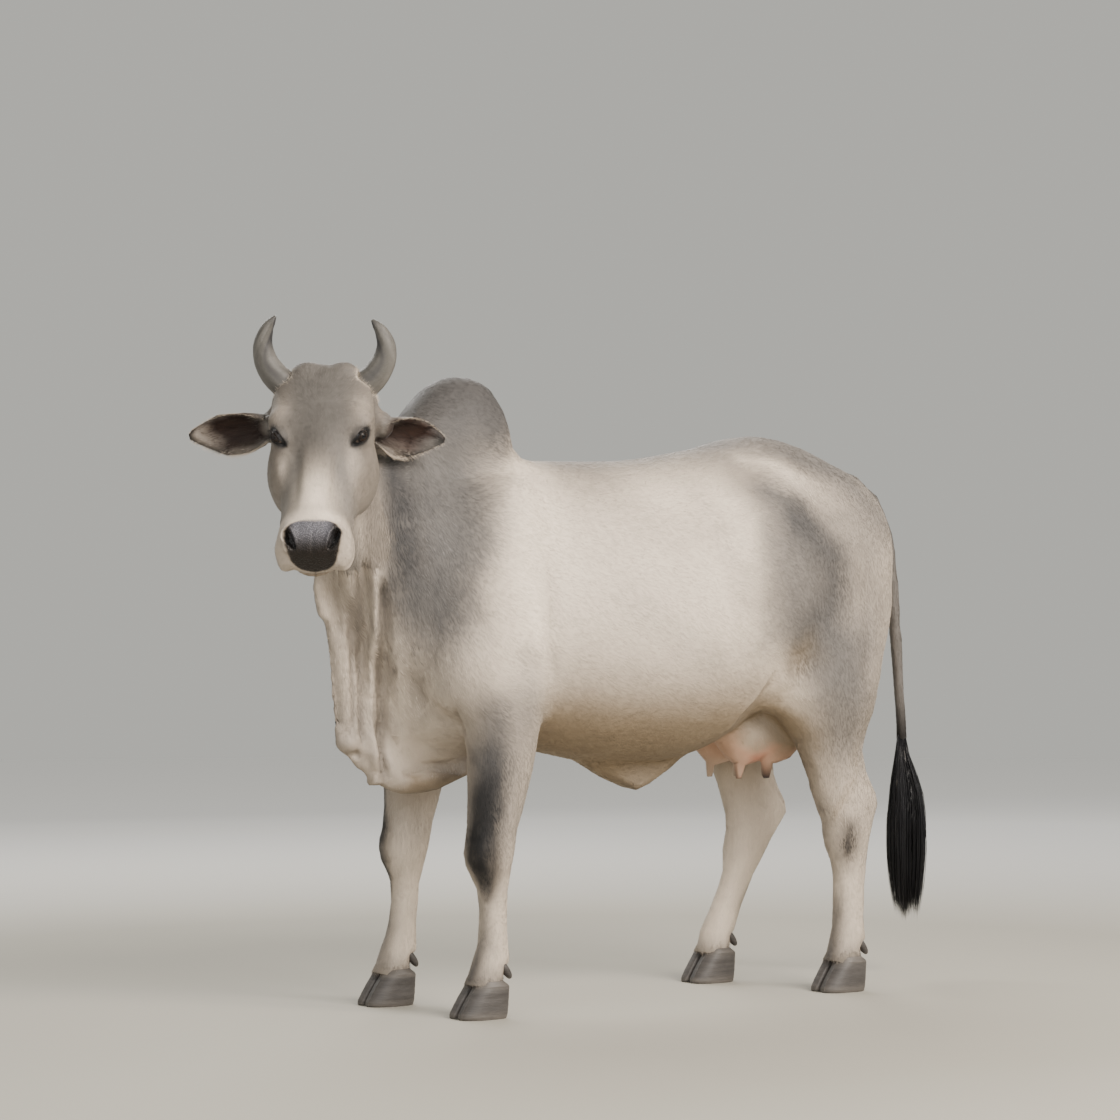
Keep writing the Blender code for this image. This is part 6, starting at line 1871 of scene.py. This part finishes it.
def build_horn(sign, horns):
    """A smooth rising horn with faint growth rings at its base and a blunt dark tip."""
    rows = smooth_rows(HORN_PATH, 9)
    centres = np.array(
        [upright_point(sign * r[0], r[1], r[2] * (HORN_RISE[sign] if r[2] > 0 else 1)) for r in rows]
    )
    tangents = np.gradient(centres, axis=0)
    tangents = units(tangents)
    count = 40
    turn = np.linspace(0, 2 * np.pi, count, endpoint=False)
    rings = []
    for i, (centre, tangent) in enumerate(zip(centres, tangents)):
        side = unit(FACE_UP - tangent * (FACE_UP @ tangent))
        other = np.cross(tangent, side)
        t = i / (len(rows) - 1)
        radius = rows[i, 3] * 0.99
        radius += horns.ridge * (1 - t) ** 2 * math.sin(t * 95) * (1 if t < 0.75 else 0)
        shape = radius * (1 + 0.012 * np.sin(turn * 3 + sign + t * 4) + 0.008 * np.sin(turn * 7 + t * 9))
        rings.append(
            centre + np.cos(turn)[:, None] * side * shape[:, None] + np.sin(turn)[:, None] * other
            * shape[:, None]
        )
    tip = centres[-1] + tangents[-1] * 0.0022
    rings.append(tip + (rings[-1] - centres[-1]) * 0.55)
    obj = loft("horn_" + ("left" if sign > 0 else "right") + "_shell", rings)
    p = read_points(obj.data)
    _, t = near(p, centres)
    pick(obj)
    bpy.ops.object.shade_smooth()
    base, tip_tone, dark = tone(horns, "base"), tone(horns, "tip"), tone(horns, "streak")
    middle = centres[np.minimum((t * (len(centres) - 1)).astype(int), len(centres) - 1)]
    reach = np.maximum(np.interp(t, np.linspace(0, 1, len(rows)), rows[:, 3]), 0.004)
    inward = -(p - middle) @ HEAD_LEFT * sign / reach
    ahead = (p - middle) @ HEADING / reach
    wave = noise(np.stack((t * 0.2, inward * 0.02, ahead * 0.02), axis=1), (0.09, 0.013, 0.013), 81)
    thin = noise(np.stack((t * 0.2, inward * 0.02, ahead * 0.02), axis=1), (0.16, 0.0035, 0.0035), 82)
    colour = base * (1 + 0.3 * wave + 0.22 * thin)[:, None]
    # the dark tip, and painted shade on the horn's inner side: a band low down and most of the upper half
    band = np.exp(-(((inward - 0.35 + 0.25 * wave) / 0.28) ** 2)) * step(t, 0.1, 0.35) * 0.55
    amount = step(t, 0.5, 0.8) * step(inward, -0.1, 0.7) * 0.9 + band + step(t, 0.9, 0.99) * 0.5
    amount = np.clip(amount * step(t, 1.02, 0.97), 0, 0.95)
    colour = colour * (1 - amount[:, None]) + tip_tone * amount[:, None]
    low = step(t, 0.24, 0.1)[:, None] * 0.45
    colour = colour * (1 - low) + dark * low
    paint(obj, "hide", np.clip(colour, 0.005, 0.9))
    return obj


def horn_material():
    """Grey horn with fine growth lines and a soft polish."""
    n = Nodes("horn_sheath", Roughness=0.45, IOR=1.5, Specular_IOR_Level=0.3)
    lines = n.noise(260, 5, 0.65, (1, 1, 2.4))
    grain = n.noise(1200, 3, 0.6)
    colour = n.grain(n.attribute("hide"), lines, 0.55, (0.66, 0.65, 0.64), 1.2, 0.32, 0.68)
    n.feed(Base_Color=n.grain(colour, grain, 0.3, 0.75, 1.15))
    n.feed(Roughness=n.value("ADD", 0.34, n.value("MULTIPLY", lines, 0.3)))
    n.feed(Normal=n.bump(grain, 0.3, 0.0004, n.bump(lines, 0.4, 0.001)))
    return n.material


LEGS = [f"{leg}_{side}" for leg in ("foreleg", "hindleg") for side in ("left", "right")]


def make_claw(lo, hi, inner):
    """One claw: a sloping front wall, a rounded outer side, a flat inner one and a thin worn edge."""
    rows = (
        # height, front and back as distances from the solid's ends, share of the width
        (0.0, 0.005, 0.01, 0.9), (0.003, 0.002, 0.007, 0.97), (0.012, 0.003, 0.005, 1.0),
        (0.028, 0.012, 0.003, 0.99),
        (0.045, 0.023, 0.002, 0.96), (0.06, 0.033, 0.001, 0.92), (0.07, 0.04, 0.001, 0.89),
        (0.075, 0.044, 0.004, 0.84), (0.084, 0.052, 0.016, 0.62),
    )
    turn = np.linspace(0, 2 * np.pi, 30, endpoint=False)
    rings = []
    for h, front, back, share in smooth_rows(rows, 3):
        x0, x1 = lo[0] + front, hi[0] - back
        half = (hi[1] - lo[1]) / 2 * share
        c, d = np.cos(turn), np.sin(turn)
        px = (x0 + x1) / 2 - (x1 - x0) / 2 * np.sign(c) * np.abs(c) ** 0.8
        outward = -inner
        bulge = np.where(d * outward > 0, np.abs(d) ** 0.85, 0.86 * np.abs(d) ** 0.55)
        py = (lo[1] + hi[1]) / 2 + np.sign(d) * bulge * half
        toe = np.clip((c - 0.2) / 0.8, 0, 1) ** 2
        py += inner * 0.007 * toe * (np.abs(d) > 0) * share
        py = np.clip(py, lo[1] + 0.0004, hi[1] - 0.0004)
        wave = 0.0004 * math.sin(h * 1500) + 0.0003 * np.sin(turn * 3 + h * 80)
        rings.append(np.stack((px + c * wave, py + d * wave, np.full(30, lo[2] + h)), axis=1))
    return loft("claw", rings)


def make_dewclaw(lo, hi):
    """One small blunt dewclaw, hanging back and down."""
    middle = (lo[1] + hi[1]) / 2
    rows = smooth_rows(
        (
            (0.004, 0.04, 0.0105), (0.012, 0.034, 0.0125), (0.021, 0.024, 0.012), (0.029, 0.014, 0.0095),
            (0.033, 0.0085, 0.006), (0.0345, 0.0065, 0.0025)
        ),
        3
    )
    turn = np.linspace(0, 2 * np.pi, 18, endpoint=False)
    axis = unit(vec(0.7, 0, -0.72))
    other = vec(0, 1, 0)
    up = np.cross(axis, other)
    rings = [
        vec(lo[0] + along, middle, lo[2] + h)
        + (np.cos(turn)[:, None] * other * 0.95 + np.sin(turn)[:, None] * up * 0.8) * r
        for along, h, r in rows
    ]
    return loft("dewclaw", rings)


def build_claws(feet):
    """Rounded claws and dewclaws, each within its solid, with growth lines."""
    made = []
    for leg in LEGS:
        boxes = {
            part: [np.array(v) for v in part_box(f"{leg}_{part}")]
            for part in ("claw_a", "claw_b", "dewclaw_a", "dewclaw_b")
        }
        for part, twin in (("claw_a", "claw_b"), ("claw_b", "claw_a")):
            lo, hi = boxes[part]
            made.append(make_claw(lo, hi, np.sign(boxes[twin][0][1] - lo[1])))
        made += [make_dewclaw(*boxes[part]) for part in ("dewclaw_a", "dewclaw_b")]
    obj = join("claws", made)
    mesh = obj.data
    pick(obj)
    p = read_points(mesh)
    p[:, 2] = np.maximum(p[:, 2], 0.0)
    write_points(mesh, p)
    bpy.ops.object.shade_smooth_by_angle(angle=math.radians(40))
    horn, toe = tone(feet, "horn"), tone(feet, "edge")
    amount = (
        np.maximum(step(p[:, 2], 0.022, 0.002), step(p[:, 2], 0.06, 0.076) * (p[:, 2] < 0.09))[:, None] * 0.6
    )
    band = 1 + 0.25 * noise(p, (0.08, 0.08, 0.004), 92)
    paint(obj, "hide", np.clip((horn * (1 - amount) + toe * amount) * band[:, None], 0.005, 0.9))
    n = Nodes("claw_horn", Roughness=0.5, Specular_IOR_Level=0.4)
    lines = n.noise(140, 4, 0.6, (0.4, 0.4, 3.0))
    n.feed(Base_Color=n.grain(n.attribute("hide"), lines, 0.5, 0.6, 1.3))
    n.feed(Normal=n.bump(lines, 0.5, 0.001))
    mesh.materials.clear()
    mesh.materials.append(n.material)
    return obj


SWITCH_TOP = 0.59
SWITCH_ROWS = (
    # height, and the tuft's reach there
    (0.62, 0.015), (0.59, 0.0165), (0.56, 0.021), (0.52, 0.032), (0.47, 0.045),
    (0.4, 0.055), (0.32, 0.0575), (0.25, 0.056), (0.2, 0.051), (0.132, 0.044),
)


def build_switch(tail, draw):
    """Long black hair hanging from the tail's end in locks, ragged at the tips."""
    count = tail.strands // 1
    steps = 10
    locks = 34
    lock_turn = draw.uniform(0, 2 * np.pi, locks)
    lock_out = np.sqrt(draw.uniform(0.1, 1.0, locks))
    lock_end = draw.uniform(0.134, 0.18, locks)
    mine = draw.integers(0, locks, count)
    turn = lock_turn[mine] + draw.normal(0, 0.2, count)
    out = np.clip(lock_out[mine] + draw.normal(0, 0.14, count), 0.05, 1.0)
    start = 0.605 - 0.2 * draw.random(count) ** 1.6
    end = np.clip(lock_end[mine] + np.abs(draw.normal(0, 0.022, count)), 0.134, 0.4)
    short = draw.random(count) < 0.22
    end[short] += draw.uniform(0.03, 0.16, short.sum())
    end = np.minimum(end, start - 0.1)
    t = np.linspace(0, 1, steps)
    z = start[:, None] + (end - start)[:, None] * t
    heights = np.array([r[0] for r in SWITCH_ROWS][::-1])
    radii = np.array([r[1] for r in SWITCH_ROWS][::-1])
    reach = np.interp(z, heights, radii)
    ease = np.clip((start[:, None] - z) / 0.09, 0, 1)
    share = 0.82 * (1 - ease) + out[:, None] * ease
    share = np.where(z > 0.58, np.minimum(share, 0.98), share)
    pull = 1 - 0.22 * t[None] ** 3
    wave = 0.0022 * np.sin(t[None] * 7 + lock_turn[mine][:, None] * 5) * t[None]
    radius = reach * share * pull - 0.0018
    x0 = SHIFT[0] + 0.781 + 0.016 * np.clip((SWITCH_TOP - 0.02 - z) / 0.12, 0, 1)
    paths = np.stack(
        (
            x0 + np.cos(turn)[:, None] * radius + wave,
            MID + np.sin(turn)[:, None] * radius * 0.82 + wave * 0.6, z
        ),
        axis=2
    )
    width = (
        draw.uniform(0.0016, 0.0032, count)[:, None] * (1 - t**2.2)[None]
        * (0.6 + 0.4 * np.minimum(t * 5, 1))[None]
    )
    side = np.stack((-np.sin(turn), np.cos(turn), np.zeros(count)), axis=1)
    side = np.repeat(side[:, None], steps, axis=1)
    shade = draw.uniform(0.6, 1.5, count)
    dark = tone(tail, "colour")[None] * shade[:, None]
    grey = draw.random(count) < 0.03
    dark[grey] = tone(tail, "tail_grey") * 0.5
    return strands("tail_hair", paths, side, width, width * 0.35, dark)


def plain_slot(obj, material, slot, *nodes):
    """Gives a piece its material and body, and hides the nodes it stands for; slot is not used."""
    obj.data.materials.clear()
    obj.data.materials.append(material)
    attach(obj, "root")
    if nodes:
        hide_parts(*nodes)


# Settings


class CowHide(bpy.types.PropertyGroup):
    fineness: bpy.props.FloatProperty(
        name="Fineness", description="Size of the squares that the skin is first made of", default=0.005,
        unit="LENGTH"
    )
    depth: bpy.props.FloatProperty(
        name="Depth of the coat", description="How far the skin lies inside the solids", default=0.0018,
        unit="LENGTH"
    )
    pale: bpy.props.FloatVectorProperty(
        name="Pale", description="Colour of most of the hide", default=(0.42, 0.355, 0.29), subtype="COLOR"
    )
    cream: bpy.props.FloatVectorProperty(
        name="Cream", description="Colour of the palest hair", default=(0.74, 0.63, 0.51), subtype="COLOR"
    )
    grey: bpy.props.FloatVectorProperty(
        name="Grey", description="Colour of the shaded marks", default=(0.118, 0.109, 0.101), subtype="COLOR"
    )
    smoke: bpy.props.FloatVectorProperty(
        name="Smoke", description="Colour of the hump and haunch marks", default=(0.062, 0.059, 0.058),
        subtype="COLOR"
    )
    black: bpy.props.FloatVectorProperty(
        name="Black", description="Colour of the knees, lids and spots", default=(0.0125, 0.0115, 0.0115),
        subtype="COLOR"
    )
    brow: bpy.props.FloatVectorProperty(
        name="Forehead", description="Colour of the forehead", default=(0.125, 0.114, 0.102), subtype="COLOR"
    )
    flesh: bpy.props.FloatVectorProperty(
        name="Udder", description="Colour of the udder's thin-haired skin", default=(0.46, 0.285, 0.195),
        subtype="COLOR"
    )
    bronze: bpy.props.FloatVectorProperty(
        name="Belly", description="Colour of the browner hair under the belly", default=(0.21, 0.15, 0.082),
        subtype="COLOR"
    )
    ear: bpy.props.FloatVectorProperty(
        name="Inner ear", description="Colour of the skin inside the ears", default=(0.015, 0.0062, 0.0036),
        subtype="COLOR"
    )


class CowCoat(bpy.types.PropertyGroup):
    tufts: bpy.props.IntProperty(
        name="Tufts", description="How many tufts the coat has", default=205000, min=1000
    )
    length: bpy.props.FloatProperty(
        name="Length", description="Length of the body's tufts", default=0.014, unit="LENGTH"
    )
    width: bpy.props.FloatProperty(
        name="Width", description="Width of a tuft at its widest", default=0.0013, unit="LENGTH"
    )
    lift: bpy.props.FloatProperty(
        name="Lift", description="How far a tuft's tip stands off the skin", default=0.0009, unit="LENGTH"
    )
    seed: bpy.props.IntProperty(name="Seed", description="Seed of the random draw", default=5)


class CowEyes(bpy.types.PropertyGroup):
    iris: bpy.props.FloatVectorProperty(
        name="Iris", description="Colour of the iris", default=(0.02, 0.012, 0.008), subtype="COLOR"
    )
    pupil: bpy.props.FloatVectorProperty(
        name="Pupil", description="Colour of the pupil", default=(0.003, 0.003, 0.004), subtype="COLOR"
    )
    white: bpy.props.FloatVectorProperty(
        name="White", description="Colour at the back of the eyeball", default=(0.1, 0.075, 0.06),
        subtype="COLOR"
    )


class CowHorns(bpy.types.PropertyGroup):
    ridge: bpy.props.FloatProperty(
        name="Rings", description="Height of the growth rings", default=0.0003, unit="LENGTH"
    )
    base: bpy.props.FloatVectorProperty(
        name="Sheath", description="Colour of the horn", default=(0.106, 0.099, 0.088), subtype="COLOR"
    )
    tip: bpy.props.FloatVectorProperty(
        name="Tip", description="Colour of the tip and of the inner side", default=(0.028, 0.027, 0.029),
        subtype="COLOR"
    )
    streak: bpy.props.FloatVectorProperty(
        name="Base", description="Colour where the horn leaves the head", default=(0.11, 0.1, 0.088),
        subtype="COLOR"
    )


class CowFeet(bpy.types.PropertyGroup):
    horn: bpy.props.FloatVectorProperty(
        name="Claw", description="Colour of the claws", default=(0.06, 0.054, 0.05), subtype="COLOR"
    )
    edge: bpy.props.FloatVectorProperty(
        name="Sole edge", description="Colour at the worn edge", default=(0.12, 0.105, 0.09), subtype="COLOR"
    )


class CowTail(bpy.types.PropertyGroup):
    strands: bpy.props.IntProperty(
        name="Strands", description="How many strands the tuft has", default=2600, min=100
    )
    colour: bpy.props.FloatVectorProperty(
        name="Tuft", description="Colour of the tuft", default=(0.0042, 0.0042, 0.0055), subtype="COLOR"
    )
    tail_grey: bpy.props.FloatVectorProperty(
        name="Grey hairs", description="Colour of the few grey hairs", default=(0.25, 0.235, 0.22),
        subtype="COLOR"
    )


class CowStage(bpy.types.PropertyGroup):
    floor: bpy.props.FloatVectorProperty(
        name="Floor", description="Colour of the floor", default=(0.36, 0.34, 0.29), subtype="COLOR"
    )
    sky: bpy.props.FloatVectorProperty(
        name="Surround", description="Colour of the light all round", default=(0.86, 0.85, 0.79),
        subtype="COLOR"
    )
    sky_power: bpy.props.FloatProperty(
        name="Surround strength", description="Strength of the light all round", default=0.6
    )
    key: bpy.props.FloatProperty(
        name="Key light", description="Strength of the large soft light", default=720.0, unit="POWER"
    )


GROUPS = {
    "cow_hide": CowHide, "cow_coat": CowCoat, "cow_eyes": CowEyes, "cow_horns": CowHorns, "cow_feet": CowFeet,
    "cow_tail": CowTail, "cow_stage": CowStage,
}


# Operators


class MakeSkin(bpy.types.Operator):
    """Makes the one skin that stands for all the flesh"""

    bl_idname = "cow.make_skin"
    bl_label = "Make the skin"

    def execute(self, context):
        hide = context.scene.cow_hide
        skin = build_skin(hide)
        points, triangles = read_points(skin.data), read_triangles(skin.data)
        normals = point_normals(points, triangles)
        paint(skin, "hide", hide_colour(points, normals, hide))
        note(skin, "wet", muffle(points))
        note(skin, "hang", step(-lie(points, normals)[:, 2], 0.6, 0.92))
        plain_slot(skin, skin_material(), "hide", *FLESH, *EARS)
        return {"FINISHED"}


class MakeCoat(bpy.types.Operator):
    """Lays the short coat over the skin"""

    bl_idname = "cow.make_coat"
    bl_label = "Make the coat"

    def execute(self, context):
        material = coat_material()
        for piece in grow(bpy.data.objects["skin"], context.scene.cow_coat, context.scene.cow_hide):
            plain_slot(piece, material, "hide")
        return {"FINISHED"}


class MakeEyes(bpy.types.Operator):
    """Makes the eyeballs"""

    bl_idname = "cow.make_eyes"
    bl_label = "Make the eyes"

    def execute(self, context):
        for piece in build_eyes(context.scene.cow_eyes):
            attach(piece, "root")
            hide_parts(piece.name.replace("eyeball", "eye"))
        return {"FINISHED"}


class MakeFaceHair(bpy.types.Operator):
    """Makes the lashes, the hair of the ears, the poll's fringe and the bristles"""

    bl_idname = "cow.make_face_hair"
    bl_label = "Make the hair of the head"

    def execute(self, context):
        hide = context.scene.cow_hide
        draw = np.random.default_rng(9)
        skin = bpy.data.objects["skin"]
        material = coat_material("long_hair", 0.45)
        for piece in (
            build_lashes(draw), build_ear_hair(draw, hide), build_face_hair(skin, draw, hide),
            build_foot_hair(skin, draw, hide)
        ):
            plain_slot(piece, material, "hide")
        return {"FINISHED"}


class MakeHorns(bpy.types.Operator):
    """Makes the horns"""

    bl_idname = "cow.make_horns"
    bl_label = "Make the horns"

    def execute(self, context):
        material = horn_material()
        for sign, node in ((1, "horn_left"), (-1, "horn_right")):
            plain_slot(build_horn(sign, context.scene.cow_horns), material, "horn", node)
        return {"FINISHED"}


class MakeClaws(bpy.types.Operator):
    """Makes the claws and dewclaws"""

    bl_idname = "cow.make_claws"
    bl_label = "Make the claws"

    def execute(self, context):
        claws = build_claws(context.scene.cow_feet)
        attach(claws, "root")
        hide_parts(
            *(f"{leg}_{part}" for leg in LEGS for part in ("claw_a", "claw_b", "dewclaw_a", "dewclaw_b"))
        )
        return {"FINISHED"}


class MakeTailTuft(bpy.types.Operator):
    """Makes the black tuft of the tail"""

    bl_idname = "cow.make_tail_tuft"
    bl_label = "Make the tail's tuft"

    def execute(self, context):
        n = Nodes("tail_gloss", Roughness=0.42, Specular_IOR_Level=0.35)
        fine = n.noise(900, 3, 0.6, (1, 1, 0.08))
        rough = n.value("ADD", 0.24, n.value("MULTIPLY", fine, 0.22))
        n.feed(Base_Color=n.grain(n.attribute("hide"), fine, 0.6, 0.6, 1.5), Roughness=rough)
        tuft = build_switch(context.scene.cow_tail, np.random.default_rng(17))
        plain_slot(tuft, n.material, "tail_hair", "tail_switch")
        return {"FINISHED"}


# The photograph's camera: its turn, its place in metres, and the picture's scale at the cow in pixels
CAMERA_TURN = math.radians(32)
CAMERA_ASIDE, CAMERA_AWAY, CAMERA_HEIGHT = -0.1924, 7.5, 0.873
PIXELS_PER_METRE, PICTURE_SIZE, HORIZON_DROP = 421, 1120, 67
SENSOR = 36


class MakeStage(bpy.types.Operator):
    """Makes the floor, the lights and the camera"""

    bl_idname = "cow.make_stage"
    bl_label = "Make the stage"

    def execute(self, context):
        stage = context.scene.cow_stage
        deselect()
        bpy.ops.mesh.primitive_circle_add(vertices=96, radius=14, fill_type="NGON", location=(0, 0, 0))
        floor = context.object
        floor.name = floor.data.name = "floor"
        n = Nodes("studio_floor", Roughness=0.8)
        cloud = n.noise(1.2, 3, 0.5)
        c = tuple(stage.floor)
        near_floor = n.mix(cloud, tuple(v * 0.97 for v in c), tuple(v * 1.03 for v in c))
        reach = n.add("VectorMath", operation="LENGTH")
        n.link(n.add("TexCoord").outputs["Object"], reach.inputs[0])
        far = n.value("MULTIPLY", n.value("SUBTRACT", reach.outputs["Value"], 2.2), 0.21, clamp=True)
        n.feed(Base_Color=n.mix(far, near_floor, (0.93, 0.93, 0.93)))
        floor.data.materials.append(n.material)
        world = bpy.data.worlds.new("studio")
        context.scene.world = world
        world.use_nodes = True
        back = world.node_tree.nodes["Background"]
        back.inputs[0].default_value = (*stage.sky, 1)
        back.inputs[1].default_value = stage.sky_power

        def light(name, place, target, size, power, colour):
            lamp = bpy.data.lights.new(name, "AREA")
            lamp.shape = "RECTANGLE"
            lamp.size, lamp.size_y = size
            lamp.energy = power
            lamp.color = colour
            obj = bpy.data.objects.new(name, lamp)
            context.scene.collection.objects.link(obj)
            obj.location = place
            obj.rotation_euler = (Vector(target) - Vector(place)).to_track_quat("-Z", "Y").to_euler()

        light("key", (1.0, -4.8, 3.7), (0.0, 0.0, 0.85), (4.0, 3.0), stage.key, (1.0, 0.925, 0.845))
        light("fill", (-4.0, -3.8, 2.2), (0.0, 0.0, 0.7), (3.5, 2.5), stage.key * 0.15, (0.97, 0.98, 1.0))
        light("back", (0.6, 4.2, 4.2), (0.0, 0.0, 1.0), (5.0, 2.0), stage.key * 0.4, (1.0, 0.98, 0.95))
        right = vec(math.cos(CAMERA_TURN), -math.sin(CAMERA_TURN), 0)
        ahead = vec(math.sin(CAMERA_TURN), math.cos(CAMERA_TURN), 0)
        tilt = math.atan(HORIZON_DROP / (PIXELS_PER_METRE * CAMERA_AWAY))
        look = Vector(ahead * math.cos(tilt) + UP * math.sin(tilt))
        data = bpy.data.cameras.new("camera")
        data.sensor_width = SENSOR
        data.lens = SENSOR / PICTURE_SIZE * PIXELS_PER_METRE * CAMERA_AWAY
        camera = bpy.data.objects.new("camera", data)
        context.scene.collection.objects.link(camera)
        place = right * CAMERA_ASIDE - ahead * CAMERA_AWAY + UP * CAMERA_HEIGHT + SHIFT * vec(1, 1, 0)
        camera.location = Vector(place)
        camera.rotation_euler = look.to_track_quat("-Z", "Y").to_euler()
        context.scene.camera = camera
        return {"FINISHED"}


class CowPanel(bpy.types.Panel):
    """The cow's settings and pieces"""

    bl_idname = "VIEW3D_PT_cow"
    bl_label = "Humped dairy cow"
    bl_space_type = "VIEW_3D"
    bl_region_type = "UI"
    bl_category = "Cow"

    def draw(self, context):
        for name, operator in STEPS:
            box = self.layout.box()
            group = getattr(context.scene, name)
            for key in group.bl_rna.properties.keys():
                if key not in ("rna_type", "name"):
                    box.prop(group, key)
            box.operator(operator)


STEPS = (
    ("cow_stage", "cow.make_stage"),
    ("cow_hide", "cow.make_skin"),
    ("cow_coat", "cow.make_coat"),
    ("cow_eyes", "cow.make_eyes"),
    ("cow_hide", "cow.make_face_hair"),
    ("cow_horns", "cow.make_horns"),
    ("cow_feet", "cow.make_claws"),
    ("cow_tail", "cow.make_tail_tuft"),
)
CLASSES = (
    *GROUPS.values(), MakeStage, MakeSkin, MakeCoat, MakeEyes, MakeFaceHair, MakeHorns, MakeClaws,
    MakeTailTuft, CowPanel,
)


def register():
    for cls in CLASSES:
        bpy.utils.register_class(cls)
    for name, group in GROUPS.items():
        setattr(bpy.types.Scene, name, bpy.props.PointerProperty(type=group))


def unregister():
    for name in GROUPS:
        delattr(bpy.types.Scene, name)
    for cls in reversed(CLASSES):
        bpy.utils.unregister_class(cls)


def main():
    register()
    for _, operator in STEPS:
        getattr(bpy.ops.cow, operator.split(".")[1])()


if __name__ == "__main__":
    main()
